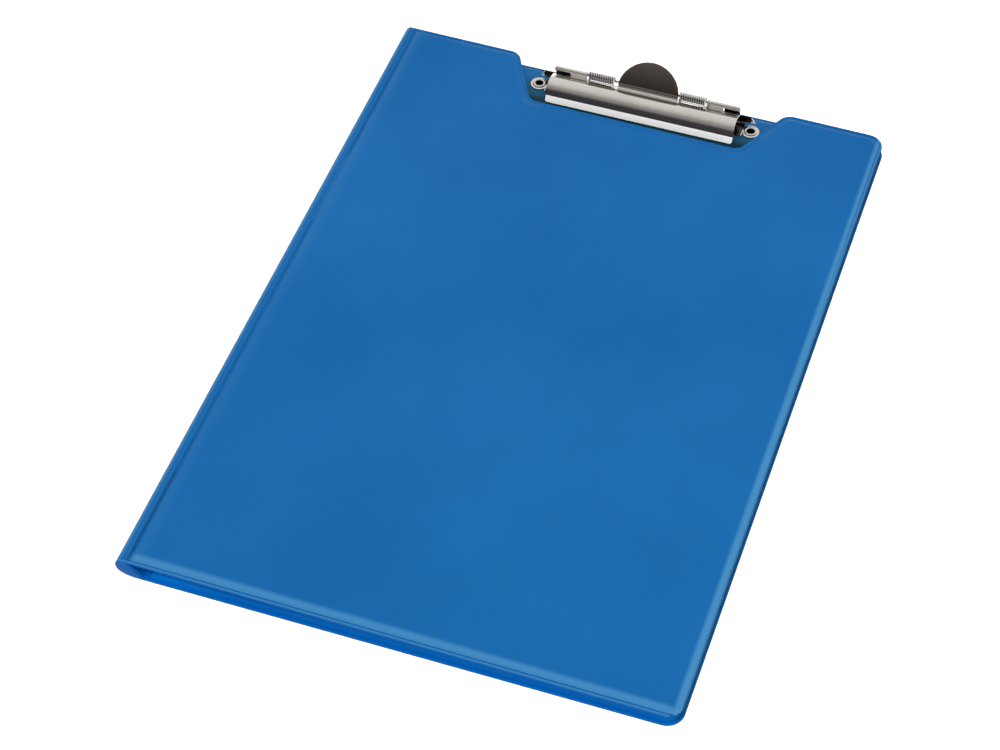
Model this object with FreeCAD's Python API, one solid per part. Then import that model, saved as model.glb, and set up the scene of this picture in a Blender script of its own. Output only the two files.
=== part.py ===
import FreeCAD, Part
import math
import os

# Fold-over clipboard folder, closed, lying flat on its back panel.
# X runs across the folder, from the fold (-X) to the free edge (+X).
# Y runs along it, with the sprung clip at the +Y edge. Z is up, and z = 0 is the surface below.
# All lengths are in millimetres and all angles in degrees.

V = FreeCAD.Vector
X_AXIS = V(1, 0, 0)
Y_AXIS = V(0, 1, 0)
Z_AXIS = V(0, 0, 1)
EXPORT_FOLDER = "parts"

# Folder outline
folder_width = 236.0
panel_length = 340.0
cover_shift = 1.0
cover_edge_in = 0.7
free_corner_r = 7.5
fold_corner_r = 2.5

# Vinyl films, boards and the welded seam round each panel
vinyl_t = 0.4
back_board_t = 2.4
front_board_t = 1.8
board_edge_in = 5.2
board_slack = 0.1
board_corner_r = 3.0
seam_bead_w = 1.0
seam_groove_w = 0.8
seam_groove_depth = 0.2
front_seam_drop = 1.2

# Soft fold between the two panels, measured inwards from its outermost line
fold_line_z = 4.9
fold_nose_r = 3.6
fold_foot_in = 9.5
back_seam_in = 12.2
cover_seam_in = 4.0
cover_seam_z = 7.5
cover_rest_gap = 0.7
fold_end_gap = 0.05

# Notch in the front cover, round the clip
notch_x = 4.5
notch_mouth_half = 65.5
notch_floor_half = 50.5
notch_depth = 29.5
notch_mouth_r = 6.0
notch_floor_r = 5.0

# Pocket welded on the inside of the front cover
pocket_t = 0.3
pocket_height = 200.0
pocket_edge_in = 6.0
pocket_slant = 30.0

# Clip: sheet gauge, hinge line and where the clip sits on the back panel
clip_x = 5.3
sheet_t = 0.5
hinge_edge_in = 9.0
hinge_height = 8.9
rod_r = 0.6
rod_clearance = 0.05
rod_half = 44.2
knuckle_curl = 262.0
outer_knuckle = (37.3, 44.9)
inner_knuckle = (29.0, 37.1)

# Clip base: floor, rear wall and the two riveted ears
floor_depth = 9.2
floor_half = 48.0
wall_half = 50.2
wall_height = 4.1
wall_bend_r = 0.9
wall_taper = 2.4
eyelet_half_pitch = 51.5
eyelet_hinge_in = 4.0
ear_r = 4.1

# Clip jaw, drawn from the hinge forward to the lip
jaw_half = 45.3
jaw_corner_r = 1.2
jaw_neck = 1.5
jaw_neck_bend_r = 0.7
jaw_back_slope = 20.0
jaw_back_len = 4.4
jaw_arch_r = 5.0
jaw_arch_turn = 90.0
jaw_face_len = 2.2
jaw_lip_bend = 12.0
jaw_lip_bend_r = 0.8
jaw_lip_gap = 0.25

# Thumb tab
tab_off_centre = 0.8
tab_half = 14.5
tab_setback = 1.3
tab_root_r = 1.3
tab_root_angle = 72.0
tab_rise = 0.6
tab_back_r = 5.0
tab_lean = 46.0
tab_arc_r = 70.0
tab_height = 11.0
tab_straight_side = 1.5

# Torsion springs on the rod
spring_wire_r = 0.3
spring_wire_sides = 6
spring_coil_r = 1.6
spring_turns = 9
spring_inner = 16.0
spring_outer = 28.3
front_leg_angle = 110.0
rear_leg_lean = 4.0
rear_leg_len = 6.0
leg_clearance = 0.1

# Hollow rivets through the ears and the back panel
eyelet_hole_r = 1.8
eyelet_tube_r = 2.2
eyelet_hole_gap = 0.05
eyelet_rim_r = 3.1
eyelet_rim_t = 0.6
eyelet_foot_r = 3.4
eyelet_foot_gap = 0.15

# Places that follow from the sizes above
x_fold = -folder_width / 2
x_free = folder_width / 2
back_y = -cover_shift / 2
cover_y = cover_shift / 2
film_pair = 2 * vinyl_t
back_top = film_pair + back_board_t
cover_t = film_pair + front_board_t
back_left = x_fold + back_seam_in
cover_left = x_fold + cover_seam_in
cover_right = x_free - cover_edge_in
cover_base_z = cover_seam_z + front_seam_drop - cover_t
hinge_y = back_y + panel_length / 2 - hinge_edge_in
hinge_z = back_top + hinge_height
knuckle_mid_r = rod_r + rod_clearance + sheet_t / 2
floor_z = back_top + sheet_t
wall_y = hinge_y + knuckle_mid_r
eyelet_y = hinge_y - eyelet_hinge_in
seam_w = seam_bead_w + seam_groove_w


def polygon_outline(corners, radii, inset, z):
    """Closed wire through a polygon's corners, moved inwards by inset, with rounded corners.

    Corners run anticlockwise. A convex corner's radius shrinks with the inset and
    a hollow corner's radius grows, as parallel curves do.
    """
    count = len(corners)
    sides = []
    for i in range(count):
        ax, ay = corners[i]
        bx, by = corners[(i + 1) % count]
        length = math.hypot(bx - ax, by - ay)
        dx = (bx - ax) / length
        dy = (by - ay) / length
        sides.append((ax - dy * inset, ay + dx * inset, dx, dy))
    ends = []
    for i in range(count):
        px, py, ux, uy = sides[i - 1]
        qx, qy, vx, vy = sides[i]
        cross = ux * vy - uy * vx
        along = ((qx - px) * vy - (qy - py) * vx) / cross
        corner = V(px + ux * along, py + uy * along, z)
        hollow = cross < 0
        radius = radii[i] + inset if hollow else max(radii[i] - inset, 0.5)
        reach = radius * abs(math.tan(math.atan2(cross, ux * vx + uy * vy) / 2))
        start = corner - V(ux, uy, 0) * reach
        end = corner + V(vx, vy, 0) * reach
        side_way = -1 if hollow else 1
        centre = start + V(-uy, ux, 0) * radius * side_way
        middle = centre + (corner - centre).normalize() * radius
        ends.append((start, middle, end))
    edges = []
    for i in range(count):
        start, middle, end = ends[i]
        edges.append(Part.Arc(start, middle, end).toShape())
        edges.append(Part.LineSegment(end, ends[(i + 1) % count][0]).toShape())
    return Part.Wire(edges)


def prism(wire, height):
    """Upright solid on a flat wire."""
    return Part.Face(wire).extrude(V(0, 0, height))


def pillow(corners, radii, levels):
    """Ruled solid through parallel outlines, given as (inset, z) pairs."""
    wires = [polygon_outline(corners, radii, inset, z) for inset, z in levels]
    return Part.makeLoft(wires, True, True)


def slope_levels(inset, low_z, high_z):
    """Rounded rise of a film from the seam to the top of its board edge."""
    steps = ((0.0, 0.0), (0.65, 0.8), (1.0, 1.0))
    run = board_edge_in - inset
    return [(inset + run * a, low_z + (high_z - low_z) * b) for a, b in steps]


def bent_strip(start, heading, steps, thickness):
    """Section of bent sheet metal, drawn along its middle line in the Y-Z plane.

    heading is in degrees from +Y towards +Z. A step is ("run", length) or
    ("bend", radius, angle), with a positive angle turning from +Y towards +Z.
    Returns the face and the last point and heading.
    """
    half = thickness / 2
    y, z = start
    angle = math.radians(heading)
    left = []
    right = []

    def side_point(radius_side):
        return V(0, y - math.sin(angle) * radius_side, z + math.cos(angle) * radius_side)

    first = (side_point(half), side_point(-half))
    for step in steps:
        left_from = side_point(half)
        right_from = side_point(-half)
        if step[0] == "run":
            y += math.cos(angle) * step[1]
            z += math.sin(angle) * step[1]
            left.append(Part.LineSegment(left_from, side_point(half)).toShape())
            right.append(Part.LineSegment(right_from, side_point(-half)).toShape())
            continue
        radius = step[1]
        turn = math.radians(step[2])
        way = 1 if turn > 0 else -1
        cy = y - math.sin(angle) * radius * way
        cz = z + math.cos(angle) * radius * way
        middle_angle = angle + turn / 2
        angle += turn

        def on_arc(at, offset):
            reach = radius * way - offset
            return V(0, cy + math.sin(at) * reach, cz - math.cos(at) * reach)

        y, z = on_arc(angle, 0).y, on_arc(angle, 0).z
        left.append(Part.Arc(left_from, on_arc(middle_angle, half), on_arc(angle, half)).toShape())
        right.append(Part.Arc(right_from, on_arc(middle_angle, -half), on_arc(angle, -half)).toShape())
    last = (side_point(half), side_point(-half))
    edges = left + [Part.LineSegment(*last).toShape()] + right[::-1]
    edges.append(Part.LineSegment(first[1], first[0]).toShape())
    face = Part.Face(Part.Wire(Part.__sortEdges__(edges)))
    return face, (y, z), math.degrees(angle)


def along_x(face, x_from, x_to):
    """Extrude a Y-Z section between two distances from the clip's middle."""
    solid = face.extrude(V(x_to - x_from, 0, 0))
    solid.translate(V(clip_x + x_from, 0, 0))
    return solid


def both_sides(face, near, far):
    """The same section on the left and on the right of the clip's middle."""
    return [along_x(face, near, far), along_x(face, -far, -near)]


def joined(solids):
    """One clean solid from several that share faces or overlap."""
    shape = solids[0].multiFuse(solids[1:])
    return shape.removeSplitter()


def upright_hole(x, y, radius):
    """Long upright cutter for a hole."""
    return Part.makeCylinder(radius, 100, V(x, y, -50))


def eyelet_places():
    """Plan positions of the two hollow rivets."""
    return [(clip_x - eyelet_half_pitch, eyelet_y), (clip_x + eyelet_half_pitch, eyelet_y)]


def with_eyelet_holes(solid, radius):
    """Cut the rivet holes through a layer of the back panel or the clip base."""
    for x, y in eyelet_places():
        solid = solid.cut(upright_hole(x, y, radius))
    return solid


# Back panel


def back_corners():
    y_low = back_y - panel_length / 2
    y_high = back_y + panel_length / 2
    return [(back_left, y_low), (x_free, y_low), (x_free, y_high), (back_left, y_high)]


def back_radii():
    return [fold_corner_r, free_corner_r, free_corner_r, fold_corner_r]


def back_outer_skin():
    """Outer vinyl film, flat on the surface below."""
    plate = prism(polygon_outline(back_corners(), back_radii(), 0, 0), vinyl_t)
    return with_eyelet_holes(plate, eyelet_foot_r + eyelet_foot_gap)


def back_board():
    """Stiff grey board between the two films."""
    radii = [board_corner_r] * 4
    outline = polygon_outline(back_corners(), radii, board_edge_in + board_slack, vinyl_t)
    return with_eyelet_holes(prism(outline, back_board_t), eyelet_tube_r + eyelet_hole_gap)


def back_lining():
    """Inner vinyl film, domed over the board and welded to the outer film round its edge."""
    corners = back_corners()
    radii = back_radii()
    seam_top = film_pair
    groove_z = seam_top - seam_groove_depth
    rim = prism(polygon_outline(corners, radii, 0, vinyl_t), vinyl_t)
    groove = prism(polygon_outline(corners, radii, seam_bead_w, groove_z), 1.0)
    dome = pillow(corners, radii, slope_levels(seam_w, groove_z, back_top))
    room = pillow(corners, radii, slope_levels(seam_w + vinyl_t, vinyl_t, back_top - vinyl_t))
    film = rim.cut(groove).fuse(dome).cut(room)
    return with_eyelet_holes(film.removeSplitter(), eyelet_tube_r + eyelet_hole_gap)


# Soft fold


def fold_section(offset):
    """Points of the fold's section, offset inwards from its outer face."""
    top_r = cover_seam_z - fold_line_z
    nose_x = x_fold + fold_nose_r
    foot_x = x_fold + fold_foot_in
    reach = foot_x - nose_x
    foot_r = (reach ** 2 + fold_line_z ** 2 - fold_nose_r ** 2) / (2 * (fold_line_z - fold_nose_r))
    swing = math.atan2(reach, foot_r - fold_line_z)
    return {
        "start": V(cover_left - fold_end_gap, 0, cover_seam_z - offset),
        "top": V(x_fold + top_r, 0, cover_seam_z - offset),
        "top_mid": arc_point(x_fold + top_r, fold_line_z, top_r - offset, 135),
        "nose": V(x_fold + offset, 0, fold_line_z),
        "nose_mid": arc_point(nose_x, fold_line_z, fold_nose_r - offset, 225 - math.degrees(swing) / 2),
        "belly": arc_point(foot_x, foot_r, foot_r - offset, 270 - math.degrees(swing)),
        "belly_mid": arc_point(foot_x, foot_r, foot_r - offset, 270 - math.degrees(swing) / 2),
        "foot": V(foot_x, 0, offset),
        "end": V(back_left, 0, offset),
    }


def arc_point(x, z, radius, angle):
    """Point on an X-Z circle, with the angle in degrees from +X towards +Z."""
    a = math.radians(angle)
    return V(x + radius * math.cos(a), 0, z + radius * math.sin(a))


def spine_fold():
    """The two films between the panels, welded together and folded round into a C."""
    outer = fold_section(0)
    inner = fold_section(film_pair)
    edges = []
    for side in (outer, inner):
        edges.append(Part.LineSegment(side["start"], side["top"]).toShape())
        edges.append(Part.Arc(side["top"], side["top_mid"], side["nose"]).toShape())
        edges.append(Part.Arc(side["nose"], side["nose_mid"], side["belly"]).toShape())
        edges.append(Part.Arc(side["belly"], side["belly_mid"], side["foot"]).toShape())
        edges.append(Part.LineSegment(side["foot"], side["end"]).toShape())
    edges.append(Part.LineSegment(outer["start"], inner["start"]).toShape())
    edges.append(Part.LineSegment(outer["end"], inner["end"]).toShape())
    section = Part.Face(Part.Wire(Part.__sortEdges__(edges)))
    fold = section.extrude(V(0, panel_length - 2 * cover_shift, 0))
    fold.translate(V(0, -panel_length / 2 + cover_shift, 0))
    return fold


# Front cover, drawn level with its inner face at z = 0 and then laid on the folder


def cover_corners():
    y_low = cover_y - panel_length / 2
    y_high = cover_y + panel_length / 2
    return [
        (cover_left, y_low),
        (cover_right, y_low),
        (cover_right, y_high),
        (notch_x + notch_mouth_half, y_high),
        (notch_x + notch_floor_half, y_high - notch_depth),
        (notch_x - notch_floor_half, y_high - notch_depth),
        (notch_x - notch_mouth_half, y_high),
        (cover_left, y_high),
    ]


def cover_radii():
    return [
        fold_corner_r,
        free_corner_r,
        free_corner_r,
        notch_mouth_r,
        notch_floor_r,
        notch_floor_r,
        notch_mouth_r,
        fold_corner_r,
    ]


def cover_tilt():
    """The free edge rests on the back panel, lower than the cover's edge at the fold."""
    drop = cover_base_z - (back_top + cover_rest_gap)
    return math.degrees(math.asin(drop / (cover_right - cover_left)))


def laid_on_folder(solid):
    """Move a piece of the level cover to its place on the closed folder."""
    solid = solid.copy()
    solid.translate(V(0, 0, cover_base_z))
    solid.rotate(V(cover_left, 0, cover_base_z), Y_AXIS, cover_tilt())
    return solid


def front_outer_skin():
    """Outer film of the cover, domed over its board and stepped down to the seam."""
    corners = cover_corners()
    radii = cover_radii()
    seam_top = cover_t - front_seam_drop
    groove_z = seam_top - seam_groove_depth
    rim = prism(polygon_outline(corners, radii, 0, seam_top - vinyl_t), vinyl_t)
    groove = prism(polygon_outline(corners, radii, seam_bead_w, groove_z), 1.0)
    dome = pillow(corners, radii, slope_levels(seam_w, groove_z, cover_t))
    room_low = seam_top - vinyl_t
    room = pillow(corners, radii, slope_levels(seam_w + vinyl_t, room_low, cover_t - vinyl_t))
    return rim.cut(groove).fuse(dome).cut(room).removeSplitter()


def front_board():
    """Thinner board of the cover, with the notch cut out of it."""
    corners = cover_corners()
    outline = polygon_outline(corners, board_radii(), board_edge_in + board_slack, vinyl_t)
    return prism(outline, front_board_t)


def board_radii():
    """Corner radii of the cover's board before its inset, small at the outer corners."""
    outer = board_corner_r + board_edge_in
    return [outer, outer, outer, outer, 1.0, 1.0, outer, outer]


def front_lining():
    """Inner film of the cover, flat over the board and turned up to the seam."""
    corners = cover_corners()
    radii = cover_radii()
    seam_low = cover_t - front_seam_drop - film_pair
    slope = [(seam_w, seam_low), (board_edge_in, 0)]
    inner_slope = [(seam_w + vinyl_t, seam_low + vinyl_t), (board_edge_in, vinyl_t)]
    rim = prism(polygon_outline(corners, radii, 0, seam_low), vinyl_t)
    dish = pillow(corners, radii, slope)
    room = pillow(corners, radii, inner_slope)
    return rim.fuse(dish).cut(room).removeSplitter()


def inner_pocket():
    """Loose-sheet pocket on the inside of the cover, with a slanted mouth."""
    low = cover_y - panel_length / 2 + pocket_edge_in
    left = cover_left + pocket_edge_in
    right = cover_right - pocket_edge_in
    corners = [(left, low), (right, low), (right, low + pocket_height), (left, low + pocket_height - pocket_slant)]
    radii = [board_corner_r, board_corner_r, 1.0, 1.0]
    return prism(polygon_outline(corners, radii, 0, -pocket_t), pocket_t)


# Clip


def clip_base():
    """Riveted base: a floor, a rear wall and two curled knuckles, from one sheet."""
    floor_mid_z = back_top + sheet_t / 2
    front_y = wall_y + sheet_t / 2 - floor_depth
    floor_run = wall_y - wall_bend_r - front_y
    wall_run = back_top + wall_height - floor_mid_z - wall_bend_r
    bend = ("bend", wall_bend_r, 90)
    plain_steps = [("run", floor_run), bend, ("run", wall_run)]
    curl_run = hinge_z - floor_mid_z - wall_bend_r
    curl_steps = [("run", floor_run), bend, ("run", curl_run), ("bend", knuckle_mid_r, knuckle_curl)]
    plain, _, _ = bent_strip((front_y, floor_mid_z), 0, plain_steps, sheet_t)
    curled, _, _ = bent_strip((front_y, floor_mid_z), 0, curl_steps, sheet_t)
    solids = [along_x(plain, -floor_half, floor_half)]
    solids += both_sides(curled, *outer_knuckle)
    solids.append(wall_ends(floor_mid_z + wall_bend_r, floor_mid_z + wall_bend_r + wall_run))
    for x, y in eyelet_places():
        solids.append(Part.makeCylinder(ear_r, sheet_t, V(x, y, back_top)))
    return with_eyelet_holes(joined(solids), eyelet_tube_r + eyelet_hole_gap)


def wall_ends(low, high):
    """Wall past the floor on both sides, sloping down towards the ears."""
    corners = [
        V(-wall_half - wall_taper, 0, low),
        V(wall_half + wall_taper, 0, low),
        V(wall_half, 0, high),
        V(-wall_half, 0, high),
    ]
    wall = Part.Face(Part.makePolygon(corners + corners[:1])).extrude(V(0, sheet_t, 0))
    wall.translate(V(clip_x, wall_y - sheet_t / 2, 0))
    return wall


def jaw_path_to_back():
    """Bent-sheet steps from the hinge down the neck to the back of the jaw."""
    return [("run", jaw_neck), ("bend", jaw_neck_bend_r, -(90 + jaw_back_slope))]


def jaw_path_forward(back_len):
    """Bent-sheet steps over the arch and down the face to the flared lip."""
    return [
        ("run", back_len),
        ("bend", jaw_arch_r, jaw_arch_turn),
        ("run", jaw_face_len),
        ("bend", jaw_lip_bend_r, -jaw_lip_bend),
    ]


def lip_run(back_point):
    """Length of the flared lip that brings its edge just above the back panel."""
    start = back_point[0]
    heading = back_point[1]
    _, point, last = bent_strip(start, heading, jaw_path_forward(jaw_back_len), sheet_t)
    fall = math.sin(math.radians(last - 180))
    edge = math.cos(math.radians(last - 180)) * sheet_t / 2
    return (point[1] - edge - back_top - jaw_lip_gap) / fall


def clip_jaw():
    """Sprung jaw: lip, arch, curled knuckles and thumb tab, from one sheet."""
    neck_top = (hinge_y - knuckle_mid_r, hinge_z)
    neck = jaw_path_to_back()
    _, rear, rear_heading = bent_strip(neck_top, 270, neck, sheet_t)
    forward = jaw_path_forward(jaw_back_len) + [("run", lip_run((rear, rear_heading)))]
    plain, _, _ = bent_strip(rear, rear_heading, forward, sheet_t)
    neck_face, _, _ = bent_strip(neck_top, 270, neck, sheet_t)
    curl_face, _, _ = bent_strip(neck_top, 90, [("bend", knuckle_mid_r, -knuckle_curl)], sheet_t)
    heading = math.radians(rear_heading)
    set_in = (rear[0] + math.cos(heading) * tab_setback, rear[1] + math.sin(heading) * tab_setback)
    centre = [("run", jaw_back_len - tab_setback)] + forward[1:]
    short, _, _ = bent_strip(set_in, rear_heading, centre, sheet_t)
    tab_edge = tab_half + 0.3
    solids = [along_x(short, tab_off_centre - tab_edge, tab_off_centre + tab_edge)]
    solids.append(along_x(plain, tab_off_centre + tab_edge, jaw_half))
    solids.append(along_x(plain, -jaw_half, tab_off_centre - tab_edge))
    solids += both_sides(neck_face, *inner_knuckle)
    solids += both_sides(curl_face, *inner_knuckle)
    solids.append(thumb_tab(set_in, rear_heading))
    return joined(solids).common(jaw_plan())


def thumb_tab(root, heading):
    """Half-moon tab that rises from the back of the jaw and leans back over the hinge."""
    back_heading = heading - 180
    bend = tab_root_angle - back_heading
    steps = [("bend", tab_root_r, bend), ("run", tab_rise)]
    steps.append(("bend", tab_back_r, tab_lean - tab_root_angle))
    steps.append(("bend", tab_arc_r, -math.degrees((tab_height + 6) / tab_arc_r)))
    face, _, _ = bent_strip(root, back_heading, steps, sheet_t)
    blank = along_x(face, tab_off_centre - tab_half, tab_off_centre + tab_half)
    middle = clip_x + tab_off_centre
    base_z = root[1] - 2.0
    side_z = root[1] + tab_straight_side
    top_z = root[1] + tab_height
    ellipse = Part.Ellipse(V(middle, 0, side_z), tab_half, top_z - side_z)
    ellipse.Axis = V(0, -1, 0)
    ellipse.XAxis = X_AXIS
    dome = Part.ArcOfEllipse(ellipse, 0, math.pi).toShape()
    if dome.CenterOfMass.z < side_z:
        dome = Part.ArcOfEllipse(ellipse, math.pi, 2 * math.pi).toShape()
    sides = [
        Part.LineSegment(V(middle - tab_half, 0, side_z), V(middle - tab_half, 0, base_z)).toShape(),
        Part.LineSegment(V(middle - tab_half, 0, base_z), V(middle + tab_half, 0, base_z)).toShape(),
        Part.LineSegment(V(middle + tab_half, 0, base_z), V(middle + tab_half, 0, side_z)).toShape(),
    ]
    outline = Part.Face(Part.Wire(Part.__sortEdges__([dome] + sides)))
    outline.translate(V(0, hinge_y - 40, 0))
    return blank.common(outline.extrude(V(0, 80, 0)))


def jaw_plan():
    """Upright block with the jaw's rounded plan outline, to trim the lip's corners."""
    front = hinge_y - 40
    low = back_top
    corners = [
        (clip_x - jaw_half, jaw_front_y()),
        (clip_x + jaw_half, jaw_front_y()),
        (clip_x + jaw_half, hinge_y + 40),
        (clip_x - jaw_half, hinge_y + 40),
    ]
    assert jaw_front_y() > front
    return prism(polygon_outline(corners, [jaw_corner_r, jaw_corner_r, 1.0, 1.0], 0, low), 60)


def jaw_front_y():
    """Foremost line of the lip."""
    neck_top = (hinge_y - knuckle_mid_r, hinge_z)
    _, rear, heading = bent_strip(neck_top, 270, jaw_path_to_back(), sheet_t)
    forward = jaw_path_forward(jaw_back_len) + [("run", lip_run((rear, heading)))]
    face, _, _ = bent_strip(rear, heading, forward, sheet_t)
    return face.BoundBox.YMin


def hinge_rod():
    """Plain wire rod through all four knuckles and both springs."""
    return Part.makeCylinder(rod_r, 2 * rod_half, V(clip_x - rod_half, hinge_y, hinge_z), X_AXIS)


# Springs


def coil_point(angle, x_start, pitch):
    """Point and direction on a spring's helix, with its angle in degrees from +Y."""
    a = math.radians(angle)
    rise = pitch / (2 * math.pi)
    begin = math.radians(rear_leg_lean)
    point = V(
        x_start + (a - begin) * rise,
        hinge_y + spring_coil_r * math.cos(a),
        hinge_z + spring_coil_r * math.sin(a),
    )
    direction = V(rise, -spring_coil_r * math.sin(a), spring_coil_r * math.cos(a))
    return point, direction.normalize()


def arc_from(start, direction, end):
    """Arc that leaves a point in a direction and ends at another point."""
    chord = end - start
    side = chord - direction * chord.dot(direction)
    radius = chord.Length ** 2 / (2 * side.Length)
    centre = start + side.normalize() * radius
    middle = centre + ((start + end) * 0.5 - centre).normalize() * radius
    return Part.Arc(start, middle, end).toShape()


def biarc(p1, t1, p2, t2):
    """Two arcs that join two points and share their tangents."""
    gap = p2 - p1
    tangents = t1 + t2
    slack = 2 * (1 - t1.dot(t2))
    along = gap.dot(tangents)
    reach = (-along + math.sqrt(along ** 2 + slack * gap.dot(gap))) / slack
    middle = (p1 + p2 + (t1 - t2) * reach) * 0.5
    return [arc_from(p1, t1, middle), reversed_arc(p2, t2 * -1, middle)]


def reversed_arc(start, direction, end):
    """Arc that leaves a point in a direction, listed from its far end."""
    edge = arc_from(start, direction, end)
    middle = edge.valueAt((edge.FirstParameter + edge.LastParameter) / 2)
    return Part.Arc(end, middle, start).toShape()


def front_leg_len(angle):
    """Length of the leg that brings its tip onto the back of the jaw."""
    a = math.radians(angle)
    slope = math.radians(jaw_back_slope)
    square = V(0, math.sin(slope), math.cos(slope))
    neck_top = (hinge_y - knuckle_mid_r, hinge_z)
    _, rear, _ = bent_strip(neck_top, 270, jaw_path_to_back(), sheet_t)
    surface = (V(0, rear[0], rear[1]) - V(0, hinge_y, hinge_z)).dot(square) + sheet_t / 2
    start = V(0, math.cos(a), math.sin(a)) * spring_coil_r
    way = V(0, -math.sin(a), math.cos(a))
    wanted = surface + spring_wire_r + leg_clearance
    return (start.dot(square) - wanted) / -way.dot(square)


def spring(x_start, x_end):
    """Torsion spring: a leg behind the wall, a coil round the rod, a leg on the jaw."""
    first = rear_leg_lean
    last = front_leg_angle + 360 * spring_turns
    pitch = (x_end - x_start) / ((last - first) / 360)
    spans = math.ceil((last - first) / 180)
    angles = [first + (last - first) * i / spans for i in range(spans + 1)]
    places = [coil_point(angle, x_start, pitch) for angle in angles]
    start_point, start_way = places[0]
    end_point, end_way = places[-1]
    rear_tip = start_point - start_way * rear_leg_len
    front_tip = end_point + end_way * front_leg_len(front_leg_angle)
    edges = [Part.LineSegment(rear_tip, start_point).toShape()]
    for (p1, t1), (p2, t2) in zip(places, places[1:]):
        edges += biarc(p1, t1, p2, t2)
    edges.append(Part.LineSegment(end_point, front_tip).toShape())
    coil = Part.Wire(edges).makePipeShell([wire_section(rear_tip, start_way)], True, False)
    print("spring gap to itself, mm:", round(gap_to_itself(edges[1:-1]), 3))
    return coil


def wire_section(centre, direction):
    """Even-sided section of the spring's wire, with its corners on the wire's round outline."""
    across = direction.cross(X_AXIS).normalize()
    up = direction.cross(across)
    corners = []
    for i in range(spring_wire_sides):
        a = 2 * math.pi * (i + 0.5) / spring_wire_sides
        corners.append(centre + across * (spring_wire_r * math.cos(a)) + up * (spring_wire_r * math.sin(a)))
    return Part.makePolygon(corners + corners[:1])


def gap_to_itself(edges):
    """Least gap between two turns, measured on points of the middle line."""
    points = []
    for edge in edges:
        points += edge.discretize(6)[:-1]
    per_turn = 4 * 5
    least = min(
        (points[i] - points[j]).Length
        for i in range(len(points))
        for j in range(i + per_turn // 2, min(i + 2 * per_turn, len(points)))
    )
    return least - 2 * spring_wire_r


# Rivets


def eyelet(x, y):
    """Hollow rivet: a tube with a turned-over rim on the ear and a flat foot under the board."""
    top = floor_z + eyelet_rim_t
    turn = eyelet_rim_t / 2
    profile = [
        (eyelet_hole_r, 0),
        (eyelet_foot_r, 0),
        (eyelet_foot_r, vinyl_t),
        (eyelet_tube_r, vinyl_t),
        (eyelet_tube_r, floor_z),
        (eyelet_rim_r, floor_z),
        (eyelet_rim_r, top - turn),
        (eyelet_rim_r - turn, top),
        (eyelet_hole_r, top),
    ]
    points = [V(r, 0, z) for r, z in profile]
    section = Part.Face(Part.makePolygon(points + points[:1]))
    ring = section.revolve(V(0, 0, 0), Z_AXIS, 360)
    ring.translate(V(x, y, 0))
    return ring


def build():
    """All pieces of the folder, by name."""
    left_place, right_place = eyelet_places()
    pieces = {
        "back_outer_skin": back_outer_skin(),
        "back_board": back_board(),
        "back_lining": back_lining(),
        "spine_fold": spine_fold(),
        "clip_base": clip_base(),
        "hinge_rod": hinge_rod(),
        "left_spring": spring(clip_x - spring_outer, clip_x - spring_inner),
        "right_spring": spring(clip_x + spring_inner, clip_x + spring_outer),
        "left_eyelet": eyelet(*left_place),
        "right_eyelet": eyelet(*right_place),
        "clip_jaw": clip_jaw(),
    }
    cover = {
        "front_outer_skin": front_outer_skin(),
        "front_board": front_board(),
        "front_lining": front_lining(),
        "inner_pocket": inner_pocket(),
    }
    for name, solid in cover.items():
        pieces[name] = laid_on_folder(solid)
    return pieces


def export(pieces):
    """Write one STEP file per piece."""
    os.makedirs(EXPORT_FOLDER, exist_ok=True)
    for name, shape in pieces.items():
        if shape.ShapeType == "Compound" and len(shape.Solids) == 1:
            shape = shape.Solids[0]
        box = shape.BoundBox
        print(name, len(shape.Solids), shape.isValid(), round(shape.Volume, 1),
              [round(v, 2) for v in (box.XMin, box.YMin, box.ZMin, box.XMax, box.YMax, box.ZMax)])
        shape.exportStep(os.path.join(EXPORT_FOLDER, name + ".step"))


export(build())
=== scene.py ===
import math

import bmesh
import bpy
from bpy.props import FloatProperty, FloatVectorProperty, IntProperty, PointerProperty
from mathutils import Matrix, Vector


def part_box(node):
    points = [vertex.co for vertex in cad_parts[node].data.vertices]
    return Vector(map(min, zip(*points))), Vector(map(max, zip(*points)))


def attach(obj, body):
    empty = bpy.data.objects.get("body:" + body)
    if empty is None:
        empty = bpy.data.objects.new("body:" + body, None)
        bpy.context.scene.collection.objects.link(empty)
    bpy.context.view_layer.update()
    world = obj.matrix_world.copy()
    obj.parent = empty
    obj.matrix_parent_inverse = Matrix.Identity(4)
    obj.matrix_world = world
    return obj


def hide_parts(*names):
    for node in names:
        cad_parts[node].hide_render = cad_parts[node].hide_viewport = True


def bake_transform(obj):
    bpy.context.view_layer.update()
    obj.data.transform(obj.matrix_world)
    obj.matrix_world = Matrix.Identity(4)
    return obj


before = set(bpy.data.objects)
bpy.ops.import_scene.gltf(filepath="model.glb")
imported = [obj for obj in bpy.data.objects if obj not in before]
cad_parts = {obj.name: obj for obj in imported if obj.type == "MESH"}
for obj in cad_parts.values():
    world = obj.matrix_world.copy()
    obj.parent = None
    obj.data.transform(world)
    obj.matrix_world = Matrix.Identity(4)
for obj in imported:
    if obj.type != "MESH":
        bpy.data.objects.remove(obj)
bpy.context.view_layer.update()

bl_info = {
    "name": "Clipboard folder",
    "version": (1, 0, 0),
    "blender": (4, 5, 0),
    "location": "3D View > Sidebar > Folder",
    "description": "Dresses the packed clipboard folder with vinyl films, a sprung steel clip and a photo stage",
    "category": "Object",
}

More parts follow.
